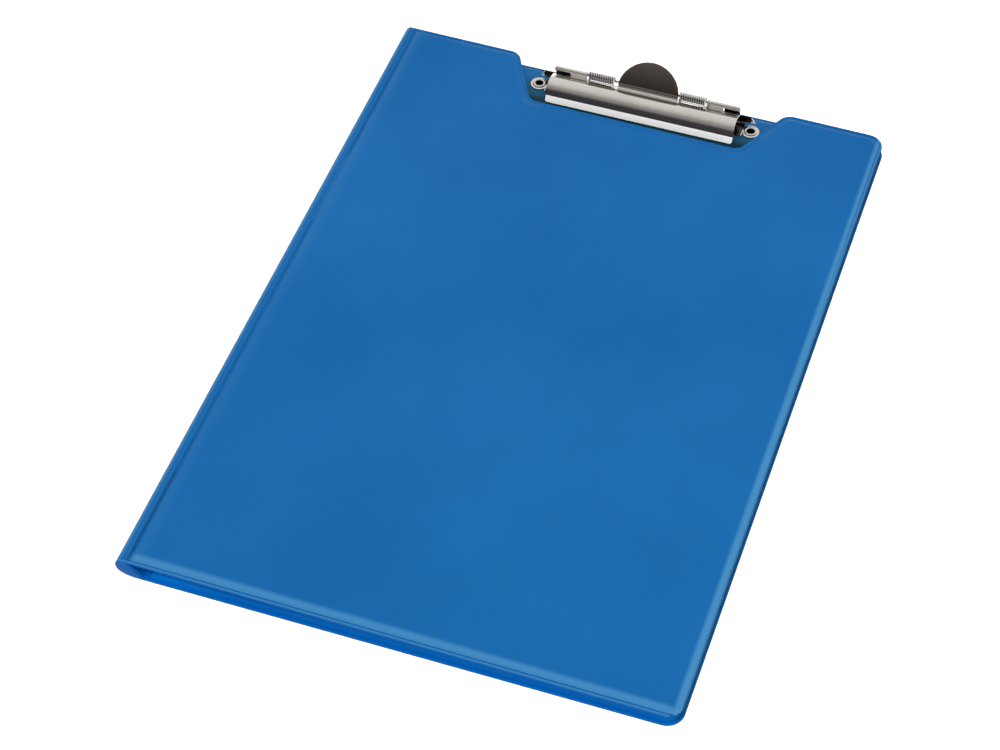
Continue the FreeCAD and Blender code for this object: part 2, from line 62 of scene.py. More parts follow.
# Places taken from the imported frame, in metres
BACK_LOW, BACK_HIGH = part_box("back_lining")
FOLD_LOW, FOLD_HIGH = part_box("spine_fold")
ROD_LOW, ROD_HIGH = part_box("hinge_rod")
FRONT_LOW, FRONT_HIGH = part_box("front_outer_skin")
LEFT_RIVET_LOW, LEFT_RIVET_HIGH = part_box("left_eyelet")
RIGHT_RIVET_LOW, RIGHT_RIVET_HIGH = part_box("right_eyelet")
HINGE_Y = (ROD_LOW.y + ROD_HIGH.y) / 2
HINGE_Z = (ROD_LOW.z + ROD_HIGH.z) / 2
CLIP_X = (ROD_LOW.x + ROD_HIGH.x) / 2
PANEL_TOP = BACK_HIGH.z
FOLD_X = FOLD_LOW.x
RIVETS = [
    ("left_eyelet", (LEFT_RIVET_LOW + LEFT_RIVET_HIGH) / 2),
    ("right_eyelet", (RIGHT_RIVET_LOW + RIGHT_RIVET_HIGH) / 2),
]


def length(name, description, default):
    """Property that holds a size in metres."""
    return FloatProperty(name=name, description=description, default=default, min=0.0, unit="LENGTH", precision=5)


def angle(name, description, degrees):
    """Property that holds an angle."""
    return FloatProperty(name=name, description=description, default=math.radians(degrees), subtype="ANGLE")


def tint(name, description, default):
    """Property that holds a colour."""
    return FloatVectorProperty(name=name, description=description, default=default, size=3, min=0.0, max=1.0, subtype="COLOR")


class VinylSizes(bpy.types.PropertyGroup):
    """Films, welded seams, fold and notch."""

    film_t: length("Film", "Thickness of one vinyl film", 0.0004)
    cover_t: length("Cover", "Thickness of the cover over its board", 0.0026)
    seam_drop: length("Seam drop", "How far the cover's weld lies below its top", 0.0012)
    bead_w: length("Weld bead", "Width of the outer bead of the welded edge", 0.001)
    groove_w: length("Weld groove", "Width of the groove inside the bead", 0.0008)
    groove_depth: length("Groove depth", "Depth of the weld groove", 0.00025)
    slope_w: length("Edge slope", "Width of the rounded rise from the groove to the board", 0.0038)
    free_corner_r: length("Free corners", "Corner radius away from the fold", 0.0075)
    notch_x: length("Notch middle", "Middle of the notch across the folder", 0.0045)
    notch_mouth: length("Notch mouth", "Half width of the notch at the cover's edge", 0.0655)
    notch_floor: length("Notch floor", "Half width of the notch at its bottom", 0.0505)
    notch_depth: length("Notch depth", "Depth of the notch", 0.0295)
    notch_mouth_r: length("Mouth corners", "Corner radius at the notch's mouth", 0.006)
    notch_floor_r: length("Floor corners", "Corner radius at the notch's floor", 0.005)
    fold_line_z: length("Fold line", "Height of the fold's outermost line", 0.0049)
    fold_nose_r: length("Fold nose", "Radius under the fold's outermost line", 0.0036)
    fold_foot: length("Fold foot", "Distance from the fold line to where the fold lies flat", 0.0095)
    tooth_pitch: length("Weld teeth", "Distance between the teeth of the weld at the fold", 0.0014)
    pocket_t: length("Pocket film", "Thickness of the pocket sheet inside the cover", 0.0003)
    pocket_height: length("Pocket height", "Height of the pocket's longer side", 0.2)


class ClipSizes(bpy.types.PropertyGroup):
    """Sheet steel, rod, springs and rivets of the clip."""

    sheet_t: length("Sheet", "Gauge of the clip's steel", 0.0005)
    knuckle_r: length("Knuckle", "Middle radius of the curled knuckles", 0.0009)
    jaw_half: length("Jaw", "Half length of the jaw", 0.0453)
    jaw_back: length("Jaw back", "Length of the jaw's flat back", 0.0044)
    arch_r: length("Arch", "Radius of the jaw's arch", 0.005)
    arch_turn: angle("Arch turn", "How far the arch turns from back to face", 90)
    face_w: length("Face", "Height of the jaw's flat face", 0.0022)
    lip_turn: angle("Lip turn", "How far the lip flares out from the face", 12)
    tab_half: length("Thumb tab", "Half width of the thumb tab", 0.0145)
    tab_rise: length("Tab height", "Height of the thumb tab above its root", 0.0116)
    tab_root_turn: angle("Tab root", "How steeply the tab leaves the jaw", 72)
    tab_lean: angle("Tab lean", "Angle of the tab above the panel", 54)
    wall_rise: length("Wall", "Height of the base's rear wall above the panel", 0.0048)
    floor_half: length("Base", "Half length of the base's floor", 0.048)
    wire_r: length("Spring wire", "Radius of the spring's wire", 0.00044)
    coil_r: length("Spring coil", "Middle radius of the spring's coil", 0.0016)
    turns: IntProperty(name="Turns", description="Close turns of each spring", default=11, min=3)
    rim_r: length("Rivet rim", "Radius of the rivet's rolled rim", 0.0031)


class FolderColours(bpy.types.PropertyGroup):
    """Colours of the folder's finishes."""

    vinyl: tint("Vinyl", "Blue of the vinyl films", (0.0018, 0.101, 0.318))
    # Painted sheen: this paler blue stands in for lamp light catching the rounded rims, weld beads and the fold's top.
    rim: tint("Rim", "Paler blue of the rounded rims", (0.05, 0.218, 0.437))
    seam: tint("Seam", "Deeper blue of the weld grooves", (0.0, 0.091, 0.298))
    # Painted shade: this dark blue makes thin shade lines along outer edges that turn away from the light, and a
    # contact shadow along the back panel's foot.
    line: tint("Line", "Dark blue of the cut edges", (0.01, 0.062, 0.15))
    # Painted bounced light: this saturated deep blue stands in for light bouncing between the films in the shaded gap
    # under the cover's near edge and inside the fold's open end.
    edge: tint("Edge", "Deep blue of the films' near edges", (0.0, 0.145, 0.535))
    steel: tint("Plated steel", "Tone of the clip's plating", (0.77, 0.745, 0.715))
    wire: tint("Spring wire", "Tone of the springs", (0.8, 0.79, 0.77))
    board: tint("Board", "Grey of the boards inside", (0.33, 0.31, 0.28))
    pocket: tint("Pocket", "Tone of the pocket film", (0.62, 0.74, 0.84))
    floor: tint("Floor", "Tone of the floor below the folder", (0.9, 0.9, 0.9))


# Hand tools: each works on one object, as a person would in edit mode


def alone(thing):
    """Make one object the only selected one."""
    bpy.ops.object.select_all(action="DESELECT")
    thing.select_set(True)
    bpy.context.view_layer.objects.active = thing


def shape(thing, kind="VERT"):
    """Go into edit mode on one object."""
    alone(thing)
    bpy.ops.object.mode_set(mode="EDIT")
    bpy.ops.mesh.select_mode(type=kind)


def put_down():
    """Leave edit mode."""
    bpy.ops.object.mode_set(mode="OBJECT")


def settle(thing):
    """Put an object's place into its mesh."""
    alone(thing)
    bpy.ops.object.transform_apply(location=True, rotation=True, scale=True)


def pick(rule, kind="VERT"):
    """Select what passes a rule on its middle point, in edit mode."""
    bpy.ops.mesh.select_mode(type=kind)
    bpy.ops.mesh.select_all(action="DESELECT")
    mesh = bpy.context.edit_object.data
    body = bmesh.from_edit_mesh(mesh)
    if kind == "VERT":
        parts = [(v, v.co) for v in body.verts]
    elif kind == "EDGE":
        parts = [(e, (e.verts[0].co + e.verts[1].co) / 2) for e in body.edges]
    else:
        parts = [(f, f.calc_center_median()) for f in body.faces]
    found = [part for part, middle in parts if rule(middle)]
    if not found:
        raise RuntimeError("nothing to select on " + mesh.name)
    for part in found:
        part.select_set(True)
    body.select_flush_mode()
    bmesh.update_edit_mesh(mesh)


def flat_plate(name, x0, x1, y0, y1, z):
    """Flat rectangular plate from a plane."""
    bpy.ops.object.select_all(action="DESELECT")
    bpy.ops.mesh.primitive_plane_add(size=1, location=((x0 + x1) / 2, (y0 + y1) / 2, z))
    plate = bpy.context.object
    plate.name = plate.data.name = name
    plate.scale = (x1 - x0, y1 - y0, 1)
    settle(plate)
    return plate


def start_edge(name, x0, x1, y, z):
    """One straight edge along X, left selected in edit mode."""
    edge = flat_plate(name, x0, x1, y, y + 0.001, z)
    shape(edge)
    pick(lambda p: p.y > y + 0.0005)
    bpy.ops.mesh.delete(type="VERT")
    bpy.ops.mesh.select_all(action="SELECT")
    return edge


def sweep(points):
    """Extrude what is selected from the first point through all the others."""
    for a, b in zip(points, points[1:]):
        bpy.ops.mesh.extrude_region_move(TRANSFORM_OT_translate={"value": tuple(b - a)})


def slice_at(place, way=(1, 0, 0)):
    """Cut all faces with a plane through a point."""
    bpy.ops.mesh.select_all(action="SELECT")
    bpy.ops.mesh.bisect(plane_co=place, plane_no=way)


def inset_steps(steps):
    """Inset the selected face again and again, each step an (inset, rise)."""
    for inset, rise in steps:
        bpy.ops.mesh.inset(thickness=inset, depth=rise, use_even_offset=True, use_boundary=True)


def round_corner(x, y, radius, turn=90):
    """Round one corner of a flat outline in edit mode."""
    pick(lambda p: abs(p.x - x) < 2e-4 and abs(p.y - y) < 2e-4)
    reach = radius * math.tan(math.radians(turn) / 2)
    bpy.ops.mesh.bevel(offset=reach, segments=8, profile=0.5, affect="VERTICES", clamp_overlap=False)


def with_modifier(thing, kind, **settings):
    """Add one modifier and apply it."""
    alone(thing)
    modifier = thing.modifiers.new(kind.lower(), kind)
    for key, value in settings.items():
        setattr(modifier, key, value)
    bpy.ops.object.modifier_apply(modifier=modifier.name)


def thicken(thing, thickness, offset=-1.0):
    """Give a sheet its thickness."""
    with_modifier(thing, "SOLIDIFY", thickness=thickness, offset=offset, use_even_offset=True)


def soften_edges(thing, width, segments=2, limit=50):
    """Round the sharp edges of a solid."""
    with_modifier(
        thing, "BEVEL", width=width, segments=segments, limit_method="ANGLE", angle_limit=math.radians(limit)
    )


def smooth(thing, limit=38):
    """Smooth shading, with edges sharper than the limit kept."""
    alone(thing)
    bpy.ops.object.shade_smooth_by_angle(angle=math.radians(limit))


def face_out(thing):
    """Merge doubles and turn all faces outwards."""
    shape(thing)
    bpy.ops.mesh.select_all(action="SELECT")
    bpy.ops.mesh.remove_doubles(threshold=1e-6)
    bpy.ops.mesh.normals_make_consistent(inside=False)
    put_down()


def combine(thing, tool, operation):
    """Join a tool body to a piece, or cut it away."""
    with_modifier(thing, "BOOLEAN", object=tool, operation=operation, solver="EXACT")
    bpy.data.objects.remove(tool)


def pin(name, centre, radius, depth, vertices=40):
    """Upright round bar."""
    bpy.ops.object.select_all(action="DESELECT")
    bpy.ops.mesh.primitive_cylinder_add(vertices=vertices, radius=radius, depth=depth, location=centre)
    bar = bpy.context.object
    bar.name = name
    settle(bar)
    return bar


def punch_rivet_holes(thing, radius):
    """Cut both rivet holes."""
    for name, place in RIVETS:
        combine(thing, pin("punch", (place.x, place.y, 0), radius, 0.1), "DIFFERENCE")


def bent_line(start, heading, steps):
    """Middle line of bent sheet in the Y-Z plane.

    heading is in degrees from +Y towards +Z. A step is ("run", length) or
    ("bend", radius, angle). Returns the (y, z) points and the last heading.
    """
    y, z = start
    way = math.radians(heading)
    points = [(y, z)]
    for step in steps:
        if step[0] == "run":
            y += math.cos(way) * step[1]
            z += math.sin(way) * step[1]
            points.append((y, z))
            continue
        radius, turn = step[1], math.radians(step[2])
        side = 1 if turn > 0 else -1
        cy = y - math.sin(way) * radius * side
        cz = z + math.cos(way) * radius * side
        count = max(3, math.ceil(abs(step[2]) / 6))
        for i in range(1, count + 1):
            at = way + turn * i / count
            points.append((cy + math.sin(at) * radius * side, cz - math.cos(at) * radius * side))
        way += turn
        y, z = points[-1]
    return points, math.degrees(way)


def in_space(points, x=0.0):
    """(y, z) points as points in space."""
    return [Vector((x, y, z)) for y, z in points]


# Shader maths


class Tone:
    """A value or colour in a material, which can be used in plain sums."""

    def __init__(self, tree, socket):
        self.tree = tree
        self.socket = socket

    def node(self, kind, settings, inputs, output=0):
        """Add a node, set it up, then fill its inputs with numbers or other tones."""
        made = self.tree.nodes.new(kind)
        for key, value in settings.items():
            if key == "stops":
                ramp = made.color_ramp
                while len(ramp.elements) < len(value):
                    ramp.elements.new(1.0)
                for stop, (place, colour) in zip(ramp.elements, value):
                    stop.position = place
                    stop.color = colour
            else:
                setattr(made, key, value)
        for key, value in inputs.items():
            if isinstance(value, Tone):
                self.tree.links.new(value.socket, made.inputs[key])
            else:
                made.inputs[key].default_value = value
        return Tone(self.tree, made.outputs[output])

    def sum(self, operation, a, b):
        return self.node("ShaderNodeMath", {"operation": operation}, {0: a, 1: b})

    def __add__(self, other):
        return self.sum("ADD", self, other)

    def __sub__(self, other):
        return self.sum("SUBTRACT", self, other)

    def __rsub__(self, other):
        return self.sum("SUBTRACT", other, self)

    def __mul__(self, other):
        return self.sum("MULTIPLY", self, other)

    def __truediv__(self, other):
        return self.sum("DIVIDE", self, other)

    def __abs__(self):
        return self.node("ShaderNodeMath", {"operation": "ABSOLUTE"}, {0: self})

    def __gt__(self, other):
        return self.sum("GREATER_THAN", self, other)

    def __lt__(self, other):
        return self.sum("LESS_THAN", self, other)

    __radd__ = __add__
    __rmul__ = __mul__

    def between(self, low, high):
        """Nought at low, one at high, smooth between."""
        settings = {"interpolation_type": "SMOOTHSTEP"}
        return self.node("ShaderNodeMapRange", settings, {"Value": self, "From Min": low, "From Max": high})

    def blend(self, dark, light):
        """Colour between two others, with this value as the share of the second."""
        inputs = {"Factor": self, 6: dark, 7: light}
        return self.node("ShaderNodeMix", {"data_type": "RGBA"}, inputs, 2)


class Finish:
    """A material being put together from nodes."""

    def __init__(self, name, rough, **constants):
        self.material = bpy.data.materials.new(name)
        self.material.use_nodes = True
        self.tree = self.material.node_tree
        self.surface = next(n for n in self.tree.nodes if n.type == "BSDF_PRINCIPLED")
        self.surface.inputs["Roughness"].default_value = rough
        for key, value in constants.items():
            self.surface.inputs[key.replace("_", " ")].default_value = value
        place = self.tree.nodes.new("ShaderNodeTexCoord")
        self.place = Tone(self.tree, place.outputs["Object"])

    def axes(self):
        """X, Y and Z of the place on the folder, in metres."""
        parts = [self.place.node("ShaderNodeSeparateXYZ", {}, {0: self.place}, i) for i in range(3)]
        return parts

    def noise(self, scale, detail=3.0, rough=0.5, stretch=(1, 1, 1)):
        """Noise with so many features to the metre."""
        spread = self.place.node("ShaderNodeMapping", {}, {"Vector": self.place, "Scale": stretch})
        inputs = {"Vector": spread, "Scale": scale, "Detail": detail, "Roughness": rough}
        return self.place.node("ShaderNodeTexNoise", {}, inputs)

    def set(self, name, value):
        """Feed one socket of the surface."""
        self.tree.links.new(value.socket, self.surface.inputs[name])

    def relief(self, height, strength, distance):
        """Fine relief from a height."""
        inputs = {"Strength": strength, "Distance": distance, "Height": height}
        self.set("Normal", height.node("ShaderNodeBump", {}, inputs))


def shade(colour, factor):
    """Colour made darker or lighter, with full alpha."""
    return tuple(min(1.0, c * factor) for c in colour[:3]) + (1.0,)


def mixed(colour, other, share):
    """Colour between two others, with full alpha."""
    return tuple(a * (1 - share) + b * share for a, b in zip(colour[:3], other[:3])) + (1.0,)


def welded_vinyl(colours):
    """Blue vinyl of the cover and fold, darker in the weld, with painted light: a painted sheen on the rounded rims,
    beads and fold top, painted shade lines along the top and right edges and on the fold's outer turn, and painted
    bounced light in deep blue under the cover's near edge and inside the fold's open end.
    """
    finish = Finish("welded_vinyl", 0.42, Specular_IOR_Level=0.1)
    cloud = finish.noise(9, 2)
    mottle = finish.noise(60, 3, stretch=(1, 0.7, 1))
    grain = finish.noise(2600, 2)
    base = colours.vinyl
    colour = cloud.between(0.3, 0.7).blend(shade(base, 0.95), mixed(shade(base, 1.04), (0.03, 0.17, 0.4), 0.12))
    colour = (mottle.between(0.35, 0.75) * 0.28).blend(colour, shade(base, 0.9))
    x, y, z = finish.axes()
    south, east, west, north = y + 0.1695, 0.1173 - x, x + 0.114, 0.1705 - y
    pale, deep = (*colours.rim, 1.0), (*colours.seam, 1.0)
    weld = 1 - y.between(0.034, 0.035) * y.between(0.079, 0.078)
    toothed = y.between(-0.1195, -0.1205)
    # Painted sheen: a faint pale band on the slope by the fold.
    colour = (west.between(0.009, 0.0025) * (west > 0.0019) * 0.15).blend(colour, pale)
    colour = ((west > 0.0003) * (west < 0.0019) * weld).blend(colour, toothed.blend(deep, shade(deep, 0.72)))
    # Painted highlight: pale on the weld bead by the fold.
    colour = ((west > -0.0004) * (west < 0.0003) * weld * 0.18).blend(colour, pale)
    # Painted sheen on the fold's rounded top, then a painted shade line on its outermost turn.
    colour = (x.between(-0.1152, -0.1165) * 0.45).blend(colour, pale)
    colour = (x.between(-0.1168, -0.1172) * 0.7).blend(colour, (0.045, 0.09, 0.2, 1.0))
    # Painted sheen: pale bands on the right and near slopes, which face the lamps.
    colour = (east.between(0.0042, 0.0022) * 0.9).blend(colour, pale)
    colour = (south.between(0.0058, 0.003) * (south > 0.00175) * west.between(0.0005, 0.004) * 0.85).blend(colour, pale)
    colour = ((south > 0.00095) * (south < 0.00175) * 0.7).blend(colour, deep)
    colour = ((east > 0.00095) * (east < 0.00175) * y.between(0.02, 0.16) * 0.7).blend(colour, deep)
    # Painted highlight: pale on the near weld bead.
    colour = ((south < 0.00095) * 0.6).blend(colour, pale)
    # Painted shade: thin dark lines along the top and right outer edges, which turn away from the light.
    edge = north.sum("MINIMUM", north, east)
    colour = (edge.between(0.0007, 0.0003) * 0.75).blend(colour, (*colours.line, 1.0))
    # Painted bounced light: saturated deep blue inside the fold's open end and on the cover's near edge, darker on the
    # fold's end cap, standing in for light bouncing in the shaded gap.
    under = y.between(-0.16935, -0.16945)
    inside = y.between(-0.162, -0.167) * (x > -0.1171) * (x < -0.1045) * (z < 0.0069)
    colour = inside.blend(colour, (*colours.edge, 1.0))
    colour = under.blend(colour, shade(colours.edge, 0.8))
    colour = (under * (x < -0.1045) * (z < 0.0067)).blend(colour, shade(colours.edge, 0.6))
    finish.set("Base Color", colour)
    finish.set("Roughness", mottle * 0.12 + grain * 0.06 + 0.33)
    finish.relief(grain * 0.5 + mottle * 0.9, 0.12, 0.00012)
    return finish.material


def pressed_vinyl(colours):
    """Paler vinyl of the teeth pressed into the weld."""
    finish = Finish("pressed_vinyl", 0.42, Specular_IOR_Level=0.1)
    cloud = finish.noise(60, 2)
    finish.set("Base Color", cloud.blend(shade(colours.vinyl, 1.15), shade(colours.vinyl, 1.4)))
    return finish.material


def inner_vinyl(colours):
    """Blue vinyl of the back panel, with painted light: painted bounced light in deep blue along its near edge and a
    painted glow there, a painted shadow in the notch under the clip, and painted shade lines along its outer edges and
    foot.
    """
    finish = Finish("inner_vinyl", 0.42, Specular_IOR_Level=0.1, Emission_Strength=1.0)
    mottle = finish.noise(60, 3, stretch=(1, 0.7, 1))
    grain = finish.noise(2600, 2)
    x, y, z = finish.axes()
    colour = (mottle.between(0.35, 0.75) * 0.28).blend((*colours.vinyl, 1.0), shade(colours.vinyl, 0.9))
    # Painted bounced light: saturated deep blue along the near edge, where the panel lies in the cover's shade.
    colour = y.between(-0.165, -0.1685).blend(colour, (*colours.edge, 1.0))
    # Painted shadow: the notch darkens to teal and near black under the jaw's lip.
    notch = x.between(-0.062, -0.054) * x.between(0.071, 0.063)
    colour = (notch * y.between(0.135, 0.143)).blend(colour, (0.008, 0.1, 0.27, 1.0))
    colour = (notch * y.between(0.136, 0.142) * y.between(0.162, 0.153) * 0.85).blend(colour, (0.008, 0.06, 0.11, 1.0))
    colour = (notch * y.between(0.136, 0.141) * y.between(0.15, 0.146) * 0.9).blend(colour, (0.004, 0.02, 0.03, 1.0))
    # Painted shade: dark lines along the right and top outer edges and a contact shadow along the foot.
    rim = (0.118 - x).between(0.0006, 0.0002)
    rim = rim.sum("MAXIMUM", rim, (0.1695 - y).between(0.0007, 0.0003))
    rim = rim.sum("MAXIMUM", rim, z.between(0.0006, 0.0002))
    colour = (rim * 0.8).blend(colour, (*colours.line, 1.0))
    # Painted glow: deep blue emission near the fold end of the near edge, standing in for light in the shaded gap under
    # the cover.
    glow = x.between(-0.06, -0.1) * y.between(-0.164, -0.167) * y.between(-0.1702, -0.1694)
    finish.set("Emission Color", glow.blend((0.0, 0.0, 0.0, 1.0), (0.0, 0.025, 0.1, 1.0)))
    finish.set("Base Color", colour)
    finish.set("Roughness", mottle * 0.12 + grain * 0.06 + 0.33)
    finish.relief(grain * 0.5 + mottle * 0.9, 0.12, 0.00012)
    return finish.material


def nickel_plating(colours):
    """Bright nickel plating, with painted reflections: dark on the jaw's face and thumb tab, white on its lip, and
    painted shade on the rod inside the coils.
    """
    finish = Finish("nickel_plating", 0.14, Metallic=1.0)
    drawn = finish.noise(420, 3, stretch=(0.05, 1, 1))
    cloud = finish.noise(130, 4, 0.6)
    specks = finish.noise(900, 2)
    sway = finish.noise(70, 1, stretch=(1, 0.6, 0.6))
    clip = bpy.context.scene.folder_clip
    _, _, sheet, _ = jaw_lines(clip)
    top = max(z for _, z in sheet)
    root, face_end = sheet[1], sheet[-5]
    x, y, z = finish.axes()
    front = y < root[0] - 0.002
    lip = front * z.between(face_end[1] + 0.0001, face_end[1] - 0.0001)
    face = front * z.between(top - 0.001, top - 0.0028) * (1 - lip)
    tab = (abs(x - CLIP_X - 0.0008) < clip.tab_half + 0.0001) * (y > root[0]) * z.between(root[1] + 0.0009, root[1] + 0.0014)
    dy, dz = y - HINGE_Y, z - HINGE_Z
    coiled = (dy * dy + dz * dz < 5e-7) * (abs(x - CLIP_X) > 0.0155) * (abs(x - CLIP_X) < 0.0288)
    base = colours.steel
    colour = cloud.between(0.25, 0.8).blend(shade(base, 1.03), shade(base, 0.93))
    # Painted dark reflection on the thumb tab.
    colour = (tab * 0.97).blend(colour, (0.2, 0.165, 0.15, 1.0))
    # Painted dark reflection on the jaw's face below the arch.
    colour = face.blend(colour, (0.05, 0.041, 0.037, 1.0))
    # Painted white reflection on the lip.
    colour = lip.blend(colour, (1.0, 0.995, 0.99, 1.0))
    # Painted shade: the rod is dark inside the springs' coils.
    finish.set("Base Color", coiled.blend(colour, (0.05, 0.045, 0.04, 1.0)))
    # The face keeps little metal and the lip none, so their painted reflections show as plain colour.
    finish.set("Metallic", 1 - face * 0.9 - lip)
    finish.set("Roughness", cloud * 0.07 + drawn * 0.05 + 0.07)
    finish.relief(drawn * 0.01 + specks * 0.004 + sway, 0.8, 0.0003)
    return finish.material


def base_plating(colours):
    """Plating of the clip's base, with a painted dark reflection on its floor and wall where they face the shaded jaw
    and a painted highlight along the bend between them.
    """
    finish = Finish("base_plating", 0.14, Metallic=1.0)
    cloud = finish.noise(130, 4, 0.6)
    x, y, z = finish.axes()
    across = abs(x - CLIP_X)
    floor = (y < HINGE_Y) * (across < 0.0476) * (z < PANEL_TOP + 0.0012)
    wall = (y > HINGE_Y) * (across > 0.0453) * (across < 0.0505) * (z < PANEL_TOP + 0.0055)
    bend = (z - PANEL_TOP).between(0.0006, 0.0009) * (z - PANEL_TOP).between(0.0017, 0.0013) * (y > HINGE_Y - 0.0004)
    base = colours.steel
    colour = cloud.between(0.25, 0.8).blend(shade(base, 1.03), shade(base, 0.93))
    # Painted reflection: near black on the floor and wall.
    colour = (floor.sum("MAXIMUM", floor, wall) * 0.95).blend(colour, (0.02, 0.02, 0.018, 1.0))
    # Painted highlight: paler along the bend between floor and wall.
    finish.set("Base Color", (bend * 0.6).blend(colour, shade(base, 0.9)))
    finish.set("Roughness", cloud * 0.07 + 0.1)
    return finish.material


def rivet_plating(colours):
    """Plating of the hollow rivets, with painted shade down the bore."""
    finish = Finish("rivet_plating", 0.14, Metallic=1.0)
    cloud = finish.noise(300, 3)
    _, _, z = finish.axes()
    base = colours.steel
    bore = (z - PANEL_TOP).between(0.0005, 0.0001)
    colour = cloud.between(0.3, 0.75).blend(shade(base, 1.06), shade(base, 0.85))
    # Painted shade: near black down the bore.
    finish.set("Base Color", bore.blend(colour, (0.015, 0.02, 0.018, 1.0)))
    finish.set("Roughness", cloud * 0.1 + 0.1)
    return finish.material


def drawn_wire(colours):
    """Drawn wire, a little duller than the plated sheet, with painted shade between the turns."""
    finish = Finish("drawn_wire", 0.2, Metallic=1.0)
    cloud = finish.noise(700, 3)
    colour = cloud.between(0.3, 0.7).blend(shade(colours.wire, 1.0), shade(colours.wire, 0.86))
    _, y, z = finish.axes()
    dy, dz = y - HINGE_Y, z - HINGE_Z
    # Painted shade: dark on all but the outer crest of each turn, between the turns and towards the rod.
    finish.set("Base Color", (dy * dy + dz * dz).between(0.002**2, 0.00184**2).blend(colour, (0.03, 0.028, 0.025, 1.0)))
    finish.set("Roughness", cloud * 0.12 + 0.12)
    return finish.material


def grey_board(colours):
    """Pressed grey board with short fibres."""
    finish = Finish("grey_board", 0.85)
    fibres = finish.noise(900, 4, 0.7, stretch=(1, 0.35, 1))
    flecks = finish.noise(260, 2)
    tone = fibres.between(0.35, 0.7).blend(shade(colours.board, 0.85), shade(colours.board, 1.15))
    share = flecks.between(0.62, 0.72) * 0.5
    finish.set("Base Color", share.node("ShaderNodeMix", {"data_type": "RGBA"}, {"Factor": share, 6: tone, 7: shade(colours.board, 0.6)}, 2))
    finish.relief(fibres, 0.3, 0.0001)
    return finish.material


def pocket_film(colours):
    """Clear film with a slight haze and long shallow waves."""
    finish = Finish("pocket_film", 0.16)
    haze = finish.noise(45, 3)
    wave = finish.noise(22, 1, stretch=(1, 0.4, 1))
    finish.set("Base Color", haze.between(0.3, 0.7).blend(shade(colours.pocket, 0.96), shade(colours.pocket, 1.06)))
    finish.set("Alpha", haze * 0.1 + 0.26)
    finish.set("Roughness", haze * 0.14 + 0.1)
    finish.relief(wave, 0.25, 0.0006)
    return finish.material


def finish_of(name, maker):
    """The finish of that name, made the first time it is asked for."""
    return bpy.data.materials.get(name) or maker(bpy.context.scene.folder_colours)


def dress(thing, name, maker):
    """Give a piece its finish."""
    thing.data.materials.clear()
    thing.data.materials.append(finish_of(name, maker))


# Vinyl pieces


def edge_rise(sizes, drop):
    """Inset steps over a panel's welded edge: bead, groove, rounded rise and flat."""
    groove = sizes.groove_depth
    steps = [(0.00012, 0.0001), (0.00013, 0.00004), (sizes.bead_w - 0.0005, 0)]
    steps += [(0.00012, -0.00004), (0.00013, -groove), (sizes.groove_w - 0.0003, 0), (0.0002, 0.0)]
    total = drop + groove - 0.0001
    parts = 12
    done = 0.0
    for i in range(1, parts + 1):
        u = i / parts
        rise = total * (1 - (1 - u) ** 2.3)
        steps.append((sizes.slope_w / parts, rise - done))
        done = rise
    return steps + [(0.0003, 0.0)]


def cover_left():
    return FOLD_LOW.x + 0.004


def cover_base_z(sizes):
    return FOLD_HIGH.z + sizes.seam_drop - sizes.cover_t


def lay_on_folder(thing, sizes):
    """Tilt a level piece of the cover to its place on the closed folder."""
    drop = cover_base_z(sizes) - (PANEL_TOP + 0.0007)
    pivot = Vector((cover_left(), 0, cover_base_z(sizes)))
    tilt = Matrix.Rotation(math.asin(drop / (BACK_HIGH.x - 0.0007 - pivot.x)), 4, "Y")
    thing.matrix_world = Matrix.Translation(pivot) @ tilt @ Matrix.Translation(-pivot)
    settle(thing)


def notched_plate(name, sizes, z):
    """Flat outline of the cover with its notch and rounded corners, in edit mode."""
    low, high = FRONT_LOW.y, FRONT_HIGH.y
    right = BACK_HIGH.x - 0.0007
    plate = flat_plate(name, cover_left(), right, low, high, z)
    shape(plate)
    floor_y = high - sizes.notch_depth
    lean = sizes.notch_mouth - sizes.notch_floor
    for side in (-1, 1):
        mouth = (sizes.notch_x + side * sizes.notch_mouth, high, z)
        slice_at(mouth, (side * sizes.notch_depth, -lean, 0))
    slice_at((0, floor_y, z), (0, 1, 0))
    middle = sizes.notch_x

    def in_notch(p):
        across = sizes.notch_floor + lean * (p.y - floor_y) / sizes.notch_depth
        return p.y > floor_y and abs(p.x - middle) < across

    pick(in_notch, "FACE")
    bpy.ops.mesh.delete(type="FACE")
    bpy.ops.mesh.select_all(action="SELECT")
    bpy.ops.mesh.dissolve_faces()
    pick(lambda p: low + 1e-4 < p.y < floor_y + 1e-4 and abs(p.x) > 0.1 or p.y < low + 1e-5 and abs(p.x) < 0.1125)
    bpy.ops.mesh.dissolve_verts()
    bend = math.degrees(math.atan2(sizes.notch_depth, lean))
    round_corner(right, low, sizes.free_corner_r)
    round_corner(right, high, sizes.free_corner_r)
    for side in (-1, 1):
        round_corner(middle + side * sizes.notch_mouth, high, sizes.notch_mouth_r, bend)
        round_corner(middle + side * sizes.notch_floor, floor_y, sizes.notch_floor_r, bend)
        slice_at((middle + side * (sizes.notch_floor - 0.009), 0, z))
    slice_at((0, floor_y - 0.014, z), (0, 1, 0))
    pick(lambda p: True, "FACE")
    return plate


def plain_left_weld(y0, y1, depth, high_z):
    """Fill the cover's groove along part of the fold, as where the weld is pressed less."""
    groove = (cover_left() + 0.00095, cover_left() + 0.0021)
    pick(lambda p: groove[0] < p.x < groove[1] and y0 < p.y < y1 and p.z < high_z)
    bpy.ops.transform.translate(value=(0, 0, depth))


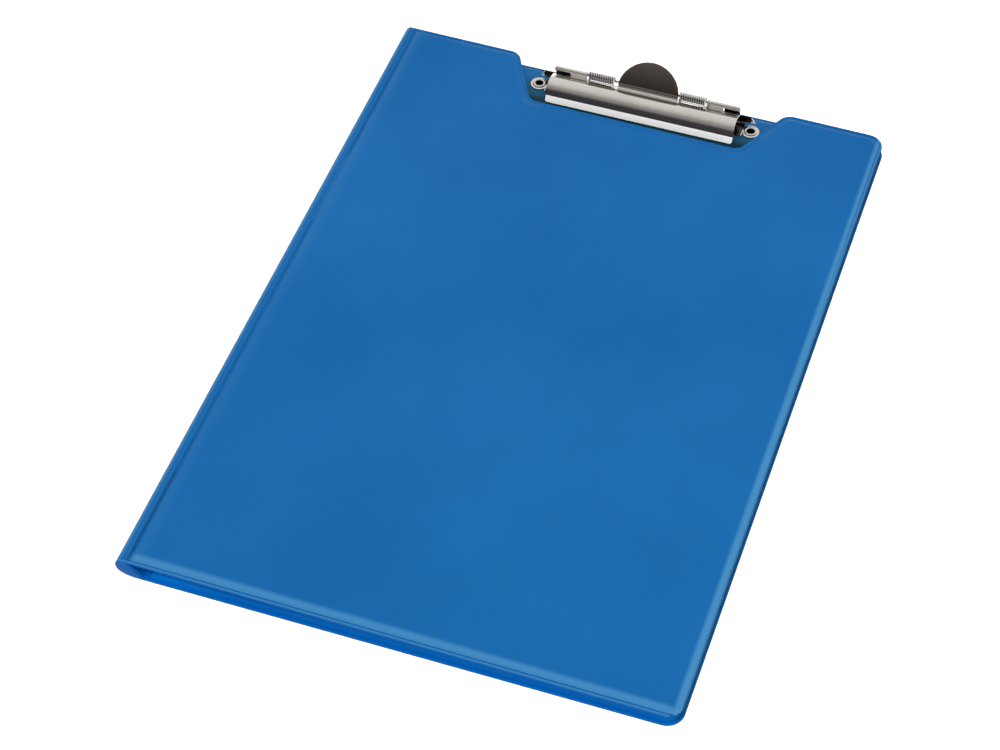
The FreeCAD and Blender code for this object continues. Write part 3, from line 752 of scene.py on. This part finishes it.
def cover_film(sizes):
    """Outer film of the cover: weld bead, groove and a rounded rise over the board."""
    top = cover_base_z(sizes) + sizes.cover_t
    seam_z = top - sizes.seam_drop
    film = notched_plate("cover_outer_film", sizes, seam_z - 0.0001)
    inset_steps(edge_rise(sizes, sizes.seam_drop))
    for y in (-0.121, -0.119, 0.0335, 0.0345, 0.0785, 0.0795):
        pick(lambda p: p.x < cover_left() + 0.0026, "FACE")
        bpy.ops.mesh.bisect(plane_co=(0, y, 0), plane_no=(0, 1, 0))
    plain_left_weld(0.0341, 0.0789, sizes.groove_depth * 0.9, seam_z - 0.00005)
    low = seam_z - sizes.groove_depth / 2
    pick(lambda p: p.z < low and p.y > 0.138 and abs(p.x - sizes.notch_x) < 0.0685)
    bpy.ops.transform.translate(value=(0, 0, sizes.groove_depth * 0.95))
    put_down()
    thicken(film, sizes.film_t)
    lay_on_folder(film, sizes)
    smooth(film, 50)
    dress(film, "welded_vinyl", welded_vinyl)
    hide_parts("front_outer_skin")
    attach(film, "front_cover")


def cover_lining(sizes):
    """Inner film of the cover, flat under the board and turned up to the weld."""
    base = cover_base_z(sizes)
    seam_low = sizes.cover_t - sizes.seam_drop - 2 * sizes.film_t
    film = notched_plate("cover_lining_film", sizes, base + seam_low)
    bpy.ops.mesh.flip_normals()
    fall = [1 - (1 - i / 8) ** 2 for i in range(9)]
    slope = [(0.0034 / 8, seam_low * (b - a)) for a, b in zip(fall, fall[1:])]
    inset_steps([(0.0018, 0.0), *slope, (0.0006, 0.0)])
    put_down()
    thicken(film, sizes.film_t)
    lay_on_folder(film, sizes)
    smooth(film, 50)
    dress(film, "welded_vinyl", welded_vinyl)
    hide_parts("front_lining")
    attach(film, "front_cover")


def pocket(sizes):
    """Clear pocket sheet with a slanted mouth and a pressed weld line."""
    low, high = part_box("inner_pocket")
    z = cover_base_z(sizes)
    left = cover_left() + 0.006
    right = BACK_HIGH.x - 0.0067
    film = flat_plate("pocket_film", left, right, low.y, low.y + sizes.pocket_height, z)
    shape(film)
    slice_at((right, low.y + sizes.pocket_height, z), (-0.03, right - left, 0))
    top = Vector((-0.03, right - left))
    corner = Vector((right, low.y + sizes.pocket_height))
    pick(lambda p: (Vector((p.x, p.y)) - corner).dot(top) > 1e-9, "FACE")
    bpy.ops.mesh.delete(type="FACE")
    round_corner(left, low.y, 0.003)
    round_corner(right, low.y, 0.003)
    pick(lambda p: True, "FACE")
    bpy.ops.mesh.flip_normals()
    inset_steps([(0.0012, 0.0), (0.0002, -0.00008), (0.0008, 0.0), (0.0002, 0.00008), (0.002, 0.0)])
    put_down()
    thicken(film, sizes.pocket_t, 1.0)
    lay_on_folder(film, sizes)
    smooth(film, 30)
    dress(film, "pocket_film", pocket_film)
    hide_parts("inner_pocket")
    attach(film, "front_cover")


def weld_teeth(name, sizes, y0, y1, height):
    """Row of small pressed ridges in the groove along the fold."""
    count = int((y1 - y0) / sizes.tooth_pitch)
    x = cover_left() + sizes.bead_w + sizes.groove_w / 2
    groove_z = cover_base_z(sizes) + sizes.cover_t - sizes.seam_drop - sizes.groove_depth
    bpy.ops.object.select_all(action="DESELECT")
    bpy.ops.mesh.primitive_cube_add(size=1, location=(x, y0, groove_z + height / 2 - 0.0001))
    row = bpy.context.object
    row.name = row.data.name = name
    row.scale = (sizes.groove_w * 0.96, sizes.tooth_pitch * 0.5, height + 0.0002)
    settle(row)
    shape(row, "FACE")
    pick(lambda p: p.z > groove_z + height - 0.0001, "FACE")
    bpy.ops.transform.resize(value=(0.8, 0.6, 1), center_override=(x, y0, groove_z))
    put_down()
    with_modifier(
        row, "ARRAY", count=count, use_relative_offset=False, use_constant_offset=True,
        constant_offset_displace=(0, sizes.tooth_pitch, 0),
    )
    lay_on_folder(row, sizes)
    dress(row, "pressed_vinyl", pressed_vinyl)
    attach(row, "front_cover")


def back_lining_film(sizes):
    """Inner film of the back panel, rounded over its board, with the weld round it."""
    seam = 2 * sizes.film_t
    plate = flat_plate("back_lining_film", BACK_LOW.x, BACK_HIGH.x, BACK_LOW.y, BACK_HIGH.y, seam - 0.0001)
    shape(plate)
    round_corner(BACK_HIGH.x, BACK_LOW.y, sizes.free_corner_r)
    round_corner(BACK_HIGH.x, BACK_HIGH.y, sizes.free_corner_r)
    pick(lambda p: True, "FACE")
    inset_steps(edge_rise(sizes, PANEL_TOP - seam))
    put_down()
    thicken(plate, sizes.film_t * 0.9)
    punch_rivet_holes(plate, 0.00225)
    smooth(plate, 50)
    dress(plate, "inner_vinyl", inner_vinyl)
    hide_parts("back_lining")
    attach(plate, "back_panel")


def back_outer_film(sizes):
    """Outer film of the back panel, flat on what it lies on, with a soft rim."""
    plate = flat_plate("back_outer_film", BACK_LOW.x, BACK_HIGH.x, BACK_LOW.y, BACK_HIGH.y, sizes.film_t)
    shape(plate)
    round_corner(BACK_HIGH.x, BACK_LOW.y, sizes.free_corner_r)
    round_corner(BACK_HIGH.x, BACK_HIGH.y, sizes.free_corner_r)
    pick(lambda p: True, "FACE")
    inset_steps([(sizes.bead_w, 0.0), (0.0006, 0.0)])
    put_down()
    thicken(plate, sizes.film_t)
    punch_rivet_holes(plate, 0.00355)
    soften_edges(plate, 0.0001)
    smooth(plate, 40)
    dress(plate, "inner_vinyl", inner_vinyl)
    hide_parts("back_outer_skin")
    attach(plate, "back_panel")


def fold_path(sizes):
    """Outer face of the folded films, from the cover round to the back panel, as X-Z points."""
    top_z = FOLD_HIGH.z
    line_z = sizes.fold_line_z
    top_r = top_z - line_z
    nose_x = FOLD_X + sizes.fold_nose_r
    foot_x = FOLD_X + sizes.fold_foot
    reach = foot_x - nose_x
    foot_r = (reach**2 + line_z**2 - sizes.fold_nose_r**2) / (2 * (line_z - sizes.fold_nose_r))
    swing = math.atan2(reach, foot_r - line_z)
    points = [Vector((cover_left() - 0.00003, 0, top_z)), Vector((FOLD_X + top_r, 0, top_z))]

    def arc(x, z, radius, a0, a1, count):
        for i in range(1, count + 1):
            a = a0 + (a1 - a0) * i / count
            points.append(Vector((x + radius * math.cos(a), 0, z + radius * math.sin(a))))

    arc(FOLD_X + top_r, line_z, top_r, math.pi / 2, math.pi, 10)
    arc(nose_x, line_z, sizes.fold_nose_r, math.pi, 1.5 * math.pi - swing, 8)
    arc(foot_x, foot_r, foot_r, 1.5 * math.pi - swing, 1.5 * math.pi, 10)
    points.append(Vector((BACK_LOW.x + 0.00003, 0, 0)))
    return points


def fold_film(sizes):
    """The two films between the panels, welded together and folded round."""
    path = fold_path(sizes)
    low, high = FRONT_LOW.y, FRONT_HIGH.y
    film = flat_plate("fold_film", path[1].x, path[0].x, low, high, path[0].z)
    shape(film)
    for i in range(1, 60):
        slice_at((0, low + (high - low) * i / 60, 0), (0, 1, 0))
    pick(lambda p: p.x < path[1].x + 1e-6, "EDGE")
    sweep(path[1:])
    for point in path:
        pick(lambda p: (p.y < low + 1e-5 or p.y > high - 1e-5) and (Vector((p.x, 0, p.z)) - point).length < 1e-6)
        bpy.ops.transform.translate(value=(0, (BACK_LOW.y - low) * (1 - point.z / path[0].z), 0))
    pick(lambda p: p.y < low + 1e-5)
    bpy.ops.mesh.edge_face_add()
    put_down()
    face_out(film)
    thicken(film, 2 * sizes.film_t)
    soften_edges(film, 0.00012)
    smooth(film, 45)
    dress(film, "welded_vinyl", welded_vinyl)
    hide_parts("spine_fold")
    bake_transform(film)


# Steel pieces


def base_sheet(clip):
    """Riveted base of the clip: floor, rear wall, two knuckles and two ears."""
    t = clip.sheet_t
    middle_z = PANEL_TOP + t / 2
    wall_y = HINGE_Y + clip.knuckle_r
    bend_r = 0.0009
    front_y = wall_y + t / 2 - 0.0092
    floor_run = wall_y - bend_r - front_y
    wall_run = clip.wall_rise - t / 2 - bend_r
    steps = [("run", floor_run), ("bend", bend_r, 90), ("run", wall_run)]
    points, _ = bent_line((front_y, middle_z), 0, steps)
    half = clip.floor_half
    sheet = start_edge("clip_base_sheet", CLIP_X - half, CLIP_X + half, front_y, middle_z)
    sweep(in_space(points))
    for x in (37.3, 44.9):
        slice_at((CLIP_X - x * 0.001, 0, 0))
        slice_at((CLIP_X + x * 0.001, 0, 0))
    top_z = points[-1][1]
    rise, _ = bent_line((wall_y, top_z), 90, [("run", HINGE_Z - top_z), ("bend", clip.knuckle_r, 262)])
    for side in (-1, 1):
        pick(lambda p: p.z > top_z - 1e-6 and 0.0373 < (p.x - CLIP_X) * side < 0.0449, "EDGE")
        sweep(in_space(rise))
    for side in (-1, 1):
        edge_x = CLIP_X + side * half
        pick(lambda p: abs(p.x - edge_x) < 1e-6 and p.z > top_z - wall_run and abs(p.y - wall_y) < 1e-5, "EDGE")
        bpy.ops.mesh.extrude_region_move(TRANSFORM_OT_translate={"value": (side * 0.0022, 0, 0)})
        pick(lambda p: (p.x - edge_x) * side > 0.001 and p.z < top_z - wall_run / 2)
        bpy.ops.transform.translate(value=(side * 0.0024, 0, 0))
    put_down()
    face_out(sheet)
    thicken(sheet, t, 0.0)
    soften_edges(sheet, 0.00009)
    for name, place in RIVETS:
        ear = pin("ear", (place.x, place.y, middle_z), 0.0041, t)
        soften_edges(ear, 0.00009)
        combine(sheet, ear, "UNION")
    punch_rivet_holes(sheet, 0.00225)
    smooth(sheet)
    dress(sheet, "base_plating", base_plating)
    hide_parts("clip_base")
    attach(sheet, "back_panel")


def jaw_lines(clip):
    """Middle lines of the jaw: neck, sheet over the arch to the lip, and tab root."""
    neck_top = (HINGE_Y - clip.knuckle_r, HINGE_Z)
    neck, back = bent_line(neck_top, 270, [("run", 0.0015), ("bend", 0.0007, -110)])
    curl, _ = bent_line(neck_top, 90, [("bend", clip.knuckle_r, -262)])
    rear = neck[-1]
    forward = [
        ("run", 0.0013),
        ("run", clip.jaw_back - 0.0013),
        ("bend", clip.arch_r, math.degrees(clip.arch_turn)),
        ("run", clip.face_w),
        ("bend", 0.0008, -math.degrees(clip.lip_turn)),
    ]
    sheet, last = bent_line(rear, back, forward)
    fall = math.sin(math.radians(last - 180))
    edge = math.cos(math.radians(last - 180)) * clip.sheet_t / 2
    lip = (sheet[-1][1] - edge - PANEL_TOP - 0.00025) / fall
    sheet, _ = bent_line(rear, back, forward + [("run", lip)])
    return neck, curl, sheet, back


def tab_rows(clip, root, heading):
    """Rows of the thumb tab: (y, z) and the share of its full width."""
    back = heading - 180
    root_turn = math.degrees(clip.tab_root_turn)
    steps = [("bend", 0.0013, root_turn - back), ("run", 0.0006)]
    steps.append(("bend", 0.005, math.degrees(clip.tab_lean) - root_turn))
    steps += [("bend", 0.07, -3.5)] * 4
    path, _ = bent_line(root, back, steps)
    side_z = root[1] + 0.0015
    rows = [(point, 1.0) for point in path if point[1] < side_z - 1e-5]
    count = 28
    for i in range(count + 1):
        turn = math.radians(90) * i / count
        z = side_z + (clip.tab_rise - 0.0015) * math.sin(turn)
        after = next(k for k, point in enumerate(path) if point[1] > z)
        (y0, z0), (y1, z1) = path[after - 1], path[after]
        rows.append(((y0 + (y1 - y0) * (z - z0) / (z1 - z0), z), max(math.cos(turn), 0.0)))
    return rows


def jaw_sheet(clip):
    """Sprung jaw in one sheet: lip, arch, two knuckles and the half-moon thumb tab."""
    neck, curl, sheet, back = jaw_lines(clip)
    half = clip.jaw_half
    tab_middle = CLIP_X + 0.0008
    rear, set_in = sheet[0], sheet[1]
    jaw = start_edge("clip_jaw_sheet", CLIP_X - half, CLIP_X + half, rear[0], rear[1])
    sweep(in_space(sheet))
    cuts = [CLIP_X + side * x for side in (-1, 1) for x in (0.029, 0.0371)]
    cuts += [tab_middle + clip.tab_half * i / 9 for i in range(-9, 10)]
    for x in cuts:
        slice_at((x, 0, 0))
    pick(lambda p: abs(p.x - tab_middle) < clip.tab_half and p.y > set_in[0] + 1e-5 and p.z < set_in[1], "FACE")
    bpy.ops.mesh.delete(type="FACE")
    for side in (-1, 1):
        pick(
            lambda p: 0.029 < (p.x - CLIP_X) * side < 0.0371 and abs(p.y - rear[0]) < 1e-6 and abs(p.z - rear[1]) < 1e-6,
            "EDGE",
        )
        sweep(in_space(neck[::-1]) + in_space(curl)[1:])
    pick(
        lambda p: abs(p.x - tab_middle) < clip.tab_half and abs(p.y - set_in[0]) < 1e-6 and abs(p.z - set_in[1]) < 1e-6,
        "EDGE",
    )
    rows = tab_rows(clip, set_in, back)
    for ((y0, z0), w0), ((y1, z1), w1) in zip(rows, rows[1:]):
        bpy.ops.mesh.extrude_region_move(TRANSFORM_OT_translate={"value": (0, y1 - y0, z1 - z0)})
        if w1 != w0:
            bpy.ops.transform.resize(value=(w1 / w0, 1, 1), center_override=(tab_middle, y1, z1))
    for side in (-1, 1):
        round_lip(CLIP_X + side * half, sheet[-1])
    put_down()
    face_out(jaw)
    thicken(jaw, clip.sheet_t, 0.0)
    soften_edges(jaw, 0.00009)
    smooth(jaw)
    dress(jaw, "nickel_plating", nickel_plating)
    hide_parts("clip_jaw")
    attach(jaw, "clip_jaw")


def round_lip(x, edge):
    """Round one end of the lip."""
    pick(lambda p: abs(p.x - x) < 1e-6 and abs(p.y - edge[0]) < 1e-6 and abs(p.z - edge[1]) < 1e-6)
    bpy.ops.mesh.bevel(offset=0.001, segments=5, profile=0.5, affect="VERTICES", clamp_overlap=False)


def rod(clip):
    """Wire rod through the knuckles, with rounded ends."""
    depth = ROD_HIGH.x - ROD_LOW.x
    bpy.ops.object.select_all(action="DESELECT")
    bpy.ops.mesh.primitive_cylinder_add(
        vertices=28, radius=0.0006, depth=depth, location=(CLIP_X, HINGE_Y, HINGE_Z), rotation=(0, math.pi / 2, 0)
    )
    bar = bpy.context.object
    bar.name = bar.data.name = "hinge_wire_rod"
    settle(bar)
    soften_edges(bar, 0.00015, 3)
    smooth(bar)
    dress(bar, "nickel_plating", nickel_plating)
    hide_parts("hinge_rod")
    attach(bar, "back_panel")


def front_leg(clip):
    """Length of the leg that brings its tip onto the back of the jaw."""
    at, slope = math.radians(110), math.radians(20)
    square = Vector((0, math.sin(slope), math.cos(slope)))
    neck, _, _, _ = jaw_lines(clip)
    surface = (Vector((0, *neck[-1])) - Vector((0, HINGE_Y, HINGE_Z))).dot(square) + clip.sheet_t / 2
    start = Vector((0, math.cos(at), math.sin(at))) * clip.coil_r
    way = Vector((0, -math.sin(at), math.cos(at)))
    return (start.dot(square) - surface - clip.wire_r - 0.0001) / -way.dot(square)


def spring(name, node, clip, x0, x1):
    """Torsion spring: rear leg, close turns round the rod and a front leg on the jaw."""
    first, last = math.radians(4), math.radians(110) + 2 * math.pi * clip.turns
    bpy.ops.object.select_all(action="DESELECT")
    start = Vector((x0, HINGE_Y + clip.coil_r * math.cos(first), HINGE_Z + clip.coil_r * math.sin(first)))
    bpy.ops.mesh.primitive_circle_add(vertices=10, radius=clip.wire_r, location=start, rotation=(first, 0, 0))
    coil = bpy.context.object
    coil.name = coil.data.name = name
    alone(coil)
    bpy.ops.object.transform_apply(location=False, rotation=True, scale=True)
    bpy.context.scene.cursor.location = (x0, HINGE_Y, HINGE_Z)
    bpy.ops.object.origin_set(type="ORIGIN_CURSOR")
    steps = int(16 * clip.turns + 5)
    with_modifier(
        coil, "SCREW", axis="X", angle=last - first, screw_offset=x1 - x0, iterations=1, steps=steps,
        render_steps=steps, use_merge_vertices=False,
    )
    settle(coil)
    bpy.context.scene.cursor.location = (0, 0, 0)
    rise = (x1 - x0) / (last - first)

    def way_at(a):
        return Vector((rise, -clip.coil_r * math.sin(a), clip.coil_r * math.cos(a))).normalized()

    end = Vector((x1, HINGE_Y + clip.coil_r * math.cos(last), HINGE_Z + clip.coil_r * math.sin(last)))
    shape(coil)
    for place, way, reach in ((start, way_at(first), -0.006), (end, way_at(last), front_leg(clip))):
        bpy.ops.mesh.select_mode(type="VERT")
        bpy.ops.mesh.select_all(action="DESELECT")
        bpy.ops.mesh.select_non_manifold()
        keep_near(place, clip.wire_r * 1.2)
        bpy.ops.mesh.extrude_region_move(TRANSFORM_OT_translate={"value": tuple(way * reach)})
        bpy.ops.mesh.edge_face_add()
    put_down()
    face_out(coil)
    smooth(coil, 60)
    dress(coil, "drawn_wire", drawn_wire)
    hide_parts(node)
    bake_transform(coil)


def keep_near(place, reach):
    """Of the selected points, keep only those near a place."""
    mesh = bpy.context.edit_object.data
    body = bmesh.from_edit_mesh(mesh)
    for v in body.verts:
        if v.select and (v.co - place).length > reach:
            v.select_set(False)
    body.select_flush(False)
    bmesh.update_edit_mesh(mesh)


def turned(name, centre, profile, steps=48):
    """Ring turned from a closed profile of (radius, height) points."""
    r0, z0 = profile[0]
    ring = flat_plate(name, centre.x + r0, centre.x + r0 + 0.001, centre.y, centre.y + 0.001, z0)
    shape(ring)
    pick(lambda p: p.x > centre.x + r0 + 0.0005 or p.y > centre.y + 0.0005)
    bpy.ops.mesh.delete(type="VERT")
    bpy.ops.mesh.select_all(action="SELECT")
    places = [Vector((r, 0, z)) for r, z in profile + profile[:1]]
    sweep(places)
    bpy.ops.mesh.select_all(action="SELECT")
    bpy.ops.mesh.spin(steps=steps, angle=2 * math.pi, center=centre, axis=(0, 0, 1))
    put_down()
    face_out(ring)
    return ring


def rivet(node, centre, clip):
    """Hollow rivet with a rolled rim on the ear and a flat foot under the board."""
    top = PANEL_TOP + clip.sheet_t
    hole, tube, rim, foot = 0.0018, 0.0022, clip.rim_r, 0.0034
    roll = (rim - hole) / 2
    profile = [(hole, 0.0001), (hole + 0.0001, 0), (foot - 0.0001, 0), (foot, 0.0001), (foot, 0.0003)]
    profile += [(foot - 0.0001, 0.0004), (tube, 0.0004), (tube, top), (rim - 0.0002, top), (rim, top + 0.0001)]
    for i in range(1, 9):
        a = math.pi * i / 9
        profile.append((hole + roll + roll * math.cos(a), top + 0.0001 + 0.0005 * math.sin(a)))
    profile.append((hole, top - 0.0002))
    ring = turned(node + "_ring", Vector((centre.x, centre.y, 0)), profile)
    smooth(ring)
    dress(ring, "rivet_plating", rivet_plating)
    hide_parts(node)
    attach(ring, "back_panel")


# Stage


def pale_floor(colours):
    """Floor tone with a very faint cloud, lit a little from within so that it stays pale."""
    finish = Finish("pale_floor", 0.9, Specular_IOR_Level=0.0, Emission_Strength=0.45)
    cloud = finish.noise(1.5, 2)
    tone = cloud.blend(shade(colours.floor, 0.99), shade(colours.floor, 1.01))
    x, y, _ = finish.axes()
    # Painted shadow: the floor is black and unlit where the folder lies on it.
    covered = (x > -0.11) * (x < 0.115) * (y > -0.165) * (y < 0.165)
    tone = covered.blend(tone, (0.0, 0.0, 0.0, 1.0))
    finish.set("Base Color", tone)
    finish.set("Emission Color", tone)
    return finish.material


def studio_sky():
    """White wall behind and low in front, dark ceiling and dark room behind the camera."""
    world = bpy.data.worlds.new("studio_sky")
    bpy.context.scene.world = world
    world.use_nodes = True
    tree = world.node_tree
    tree.nodes.clear()
    place = tree.nodes.new("ShaderNodeTexCoord")
    way = Tone(tree, place.outputs["Generated"])
    _, y, z = [way.node("ShaderNodeSeparateXYZ", {}, {0: way}, i) for i in range(3)]
    lift = way.node("ShaderNodeMath", {"operation": "ARCTAN2"}, {0: z, 1: y}) * (180 / math.pi)
    stops = [(0.0, 0.88), (14, 0.84), (60, 0.78), (84, 0.75), (108, 0.6), (130, 0.38), (147, 0.17), (153, 0.12)]
    stops += [(166, 0.1), (170, 0.6), (176, 0.6), (178.5, 0.3), (180, 0.1)]
    ramp = [(a / 180, (v * 1.0, v * 0.985, v * 0.955, 1.0)) for a, v in stops]
    tone = lift.node("ShaderNodeValToRGB", {"stops": ramp}, {0: lift / 180})
    back = tree.nodes.new("ShaderNodeBackground")
    tree.links.new(tone.socket, back.inputs["Color"])
    back.inputs["Strength"].default_value = 1.0
    end = tree.nodes.new("ShaderNodeOutputWorld")
    tree.links.new(back.outputs[0], end.inputs["Surface"])


def soft_light(name, place, aim, size, power):
    """Large soft light that isn't seen in the plating."""
    bpy.ops.object.select_all(action="DESELECT")
    bpy.ops.object.light_add(type="AREA", location=place)
    lamp = bpy.context.object
    lamp.name = name
    lamp.data.shape = "DISK"
    lamp.data.size = size
    lamp.data.energy = power
    lamp.rotation_euler = (Vector(aim) - Vector(place)).to_track_quat("-Z", "Y").to_euler()
    lamp.visible_glossy = False
    return lamp


def camera():
    """Camera at the photograph's place."""
    turn, lift = math.radians(18.766), math.radians(48.511)
    back = Vector((math.sin(turn) * math.cos(lift), -math.cos(turn) * math.cos(lift), math.sin(lift)))
    target = Vector((-0.00577, -0.02043, 0.0))
    bpy.ops.object.select_all(action="DESELECT")
    bpy.ops.object.camera_add(location=target + back * 1.146)
    view = bpy.context.object
    view.name = "photo_camera"
    view.rotation_mode = "QUATERNION"
    view.rotation_quaternion = (-back).to_track_quat("-Z", "Y")
    view.data.lens = 96.34
    view.data.sensor_width = 36.0
    view.data.clip_start = 0.05
    view.data.clip_end = 50
    bpy.context.scene.camera = view


# Operators, one for each group of pieces


class FOLDER_OT_back_panel(bpy.types.Operator):
    """Make the two films of the back panel"""

    bl_idname = "folder.back_panel"
    bl_label = "Back panel"

    def execute(self, context):
        sizes = context.scene.folder_vinyl
        back_outer_film(sizes)
        back_lining_film(sizes)
        return {"FINISHED"}


class FOLDER_OT_cover(bpy.types.Operator):
    """Make the films, the weld teeth and the pocket of the front cover"""

    bl_idname = "folder.cover"
    bl_label = "Front cover"

    def execute(self, context):
        sizes = context.scene.folder_vinyl
        cover_film(sizes)
        cover_lining(sizes)
        pocket(sizes)
        weld_teeth("weld_teeth_near", sizes, -0.1675, -0.12, 0.00018)
        weld_teeth("weld_teeth_middle", sizes, -0.0925, 0.034, 0.00011)
        return {"FINISHED"}


class FOLDER_OT_fold(bpy.types.Operator):
    """Make the soft fold between the panels"""

    bl_idname = "folder.fold"
    bl_label = "Fold"

    def execute(self, context):
        fold_film(context.scene.folder_vinyl)
        return {"FINISHED"}


class FOLDER_OT_clip_base(bpy.types.Operator):
    """Make the riveted base of the clip"""

    bl_idname = "folder.clip_base"
    bl_label = "Clip base"

    def execute(self, context):
        base_sheet(context.scene.folder_clip)
        return {"FINISHED"}


class FOLDER_OT_clip_jaw(bpy.types.Operator):
    """Make the sprung jaw with its thumb tab"""

    bl_idname = "folder.clip_jaw"
    bl_label = "Clip jaw"

    def execute(self, context):
        jaw_sheet(context.scene.folder_clip)
        return {"FINISHED"}


class FOLDER_OT_hinge(bpy.types.Operator):
    """Make the hinge rod and the two torsion springs"""

    bl_idname = "folder.hinge"
    bl_label = "Rod and springs"

    def execute(self, context):
        clip = context.scene.folder_clip
        rod(clip)
        spring("left_coil_spring", "left_spring", clip, CLIP_X - 0.0283, CLIP_X - 0.016)
        spring("right_coil_spring", "right_spring", clip, CLIP_X + 0.016, CLIP_X + 0.0283)
        return {"FINISHED"}


class FOLDER_OT_rivets(bpy.types.Operator):
    """Make the two hollow rivets"""

    bl_idname = "folder.rivets"
    bl_label = "Rivets"

    def execute(self, context):
        for node, centre in RIVETS:
            rivet(node, centre, context.scene.folder_clip)
        return {"FINISHED"}


class FOLDER_OT_boards(bpy.types.Operator):
    """Finish the two stiff boards inside the panels"""

    bl_idname = "folder.boards"
    bl_label = "Boards"

    def execute(self, context):
        for name in ("back_board", "front_board"):
            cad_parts[name].material_slots[0].material = finish_of("grey_board", grey_board)
        return {"FINISHED"}


class FOLDER_OT_stage(bpy.types.Operator):
    """Set the floor, the studio light and the camera"""

    bl_idname = "folder.stage"
    bl_label = "Stage"

    def execute(self, context):
        floor = flat_plate("stage_floor", -6, 6, -6, 6, -0.00002)
        floor.data.materials.append(finish_of("pale_floor", pale_floor))
        studio_sky()
        soft_light("key_light", (0.9, -1.3, 1.7), (0, 0, 0), 1.2, 26)
        soft_light("top_light", (-0.3, 0.3, 2.2), (0, 0, 0), 2.0, 22)
        camera()
        context.scene.view_settings.view_transform = "Standard"
        return {"FINISHED"}


STEPS = (
    FOLDER_OT_back_panel,
    FOLDER_OT_cover,
    FOLDER_OT_fold,
    FOLDER_OT_clip_base,
    FOLDER_OT_clip_jaw,
    FOLDER_OT_hinge,
    FOLDER_OT_rivets,
    FOLDER_OT_boards,
    FOLDER_OT_stage,
)


class FOLDER_PT_panel(bpy.types.Panel):
    """Sizes, colours and build steps of the folder"""

    bl_idname = "FOLDER_PT_panel"
    bl_label = "Clipboard folder"
    bl_space_type = "VIEW_3D"
    bl_region_type = "UI"
    bl_category = "Folder"

    def draw(self, context):
        scene = context.scene
        for group in (scene.folder_vinyl, scene.folder_clip, scene.folder_colours):
            box = self.layout.box()
            for name in group.__annotations__:
                box.prop(group, name)
        for step in STEPS:
            self.layout.operator(step.bl_idname)


GROUPS = (VinylSizes, ClipSizes, FolderColours)


def register():
    for part in (*GROUPS, *STEPS, FOLDER_PT_panel):
        bpy.utils.register_class(part)
    bpy.types.Scene.folder_vinyl = PointerProperty(type=VinylSizes)
    bpy.types.Scene.folder_clip = PointerProperty(type=ClipSizes)
    bpy.types.Scene.folder_colours = PointerProperty(type=FolderColours)


def unregister():
    del bpy.types.Scene.folder_vinyl
    del bpy.types.Scene.folder_clip
    del bpy.types.Scene.folder_colours
    for part in reversed((*GROUPS, *STEPS, FOLDER_PT_panel)):
        bpy.utils.unregister_class(part)


def main():
    """Build every piece in order."""
    register()
    bpy.ops.folder.back_panel()
    bpy.ops.folder.cover()
    bpy.ops.folder.fold()
    bpy.ops.folder.clip_base()
    bpy.ops.folder.clip_jaw()
    bpy.ops.folder.hinge()
    bpy.ops.folder.rivets()
    bpy.ops.folder.boards()
    bpy.ops.folder.stage()


if __name__ == "__main__":
    main()
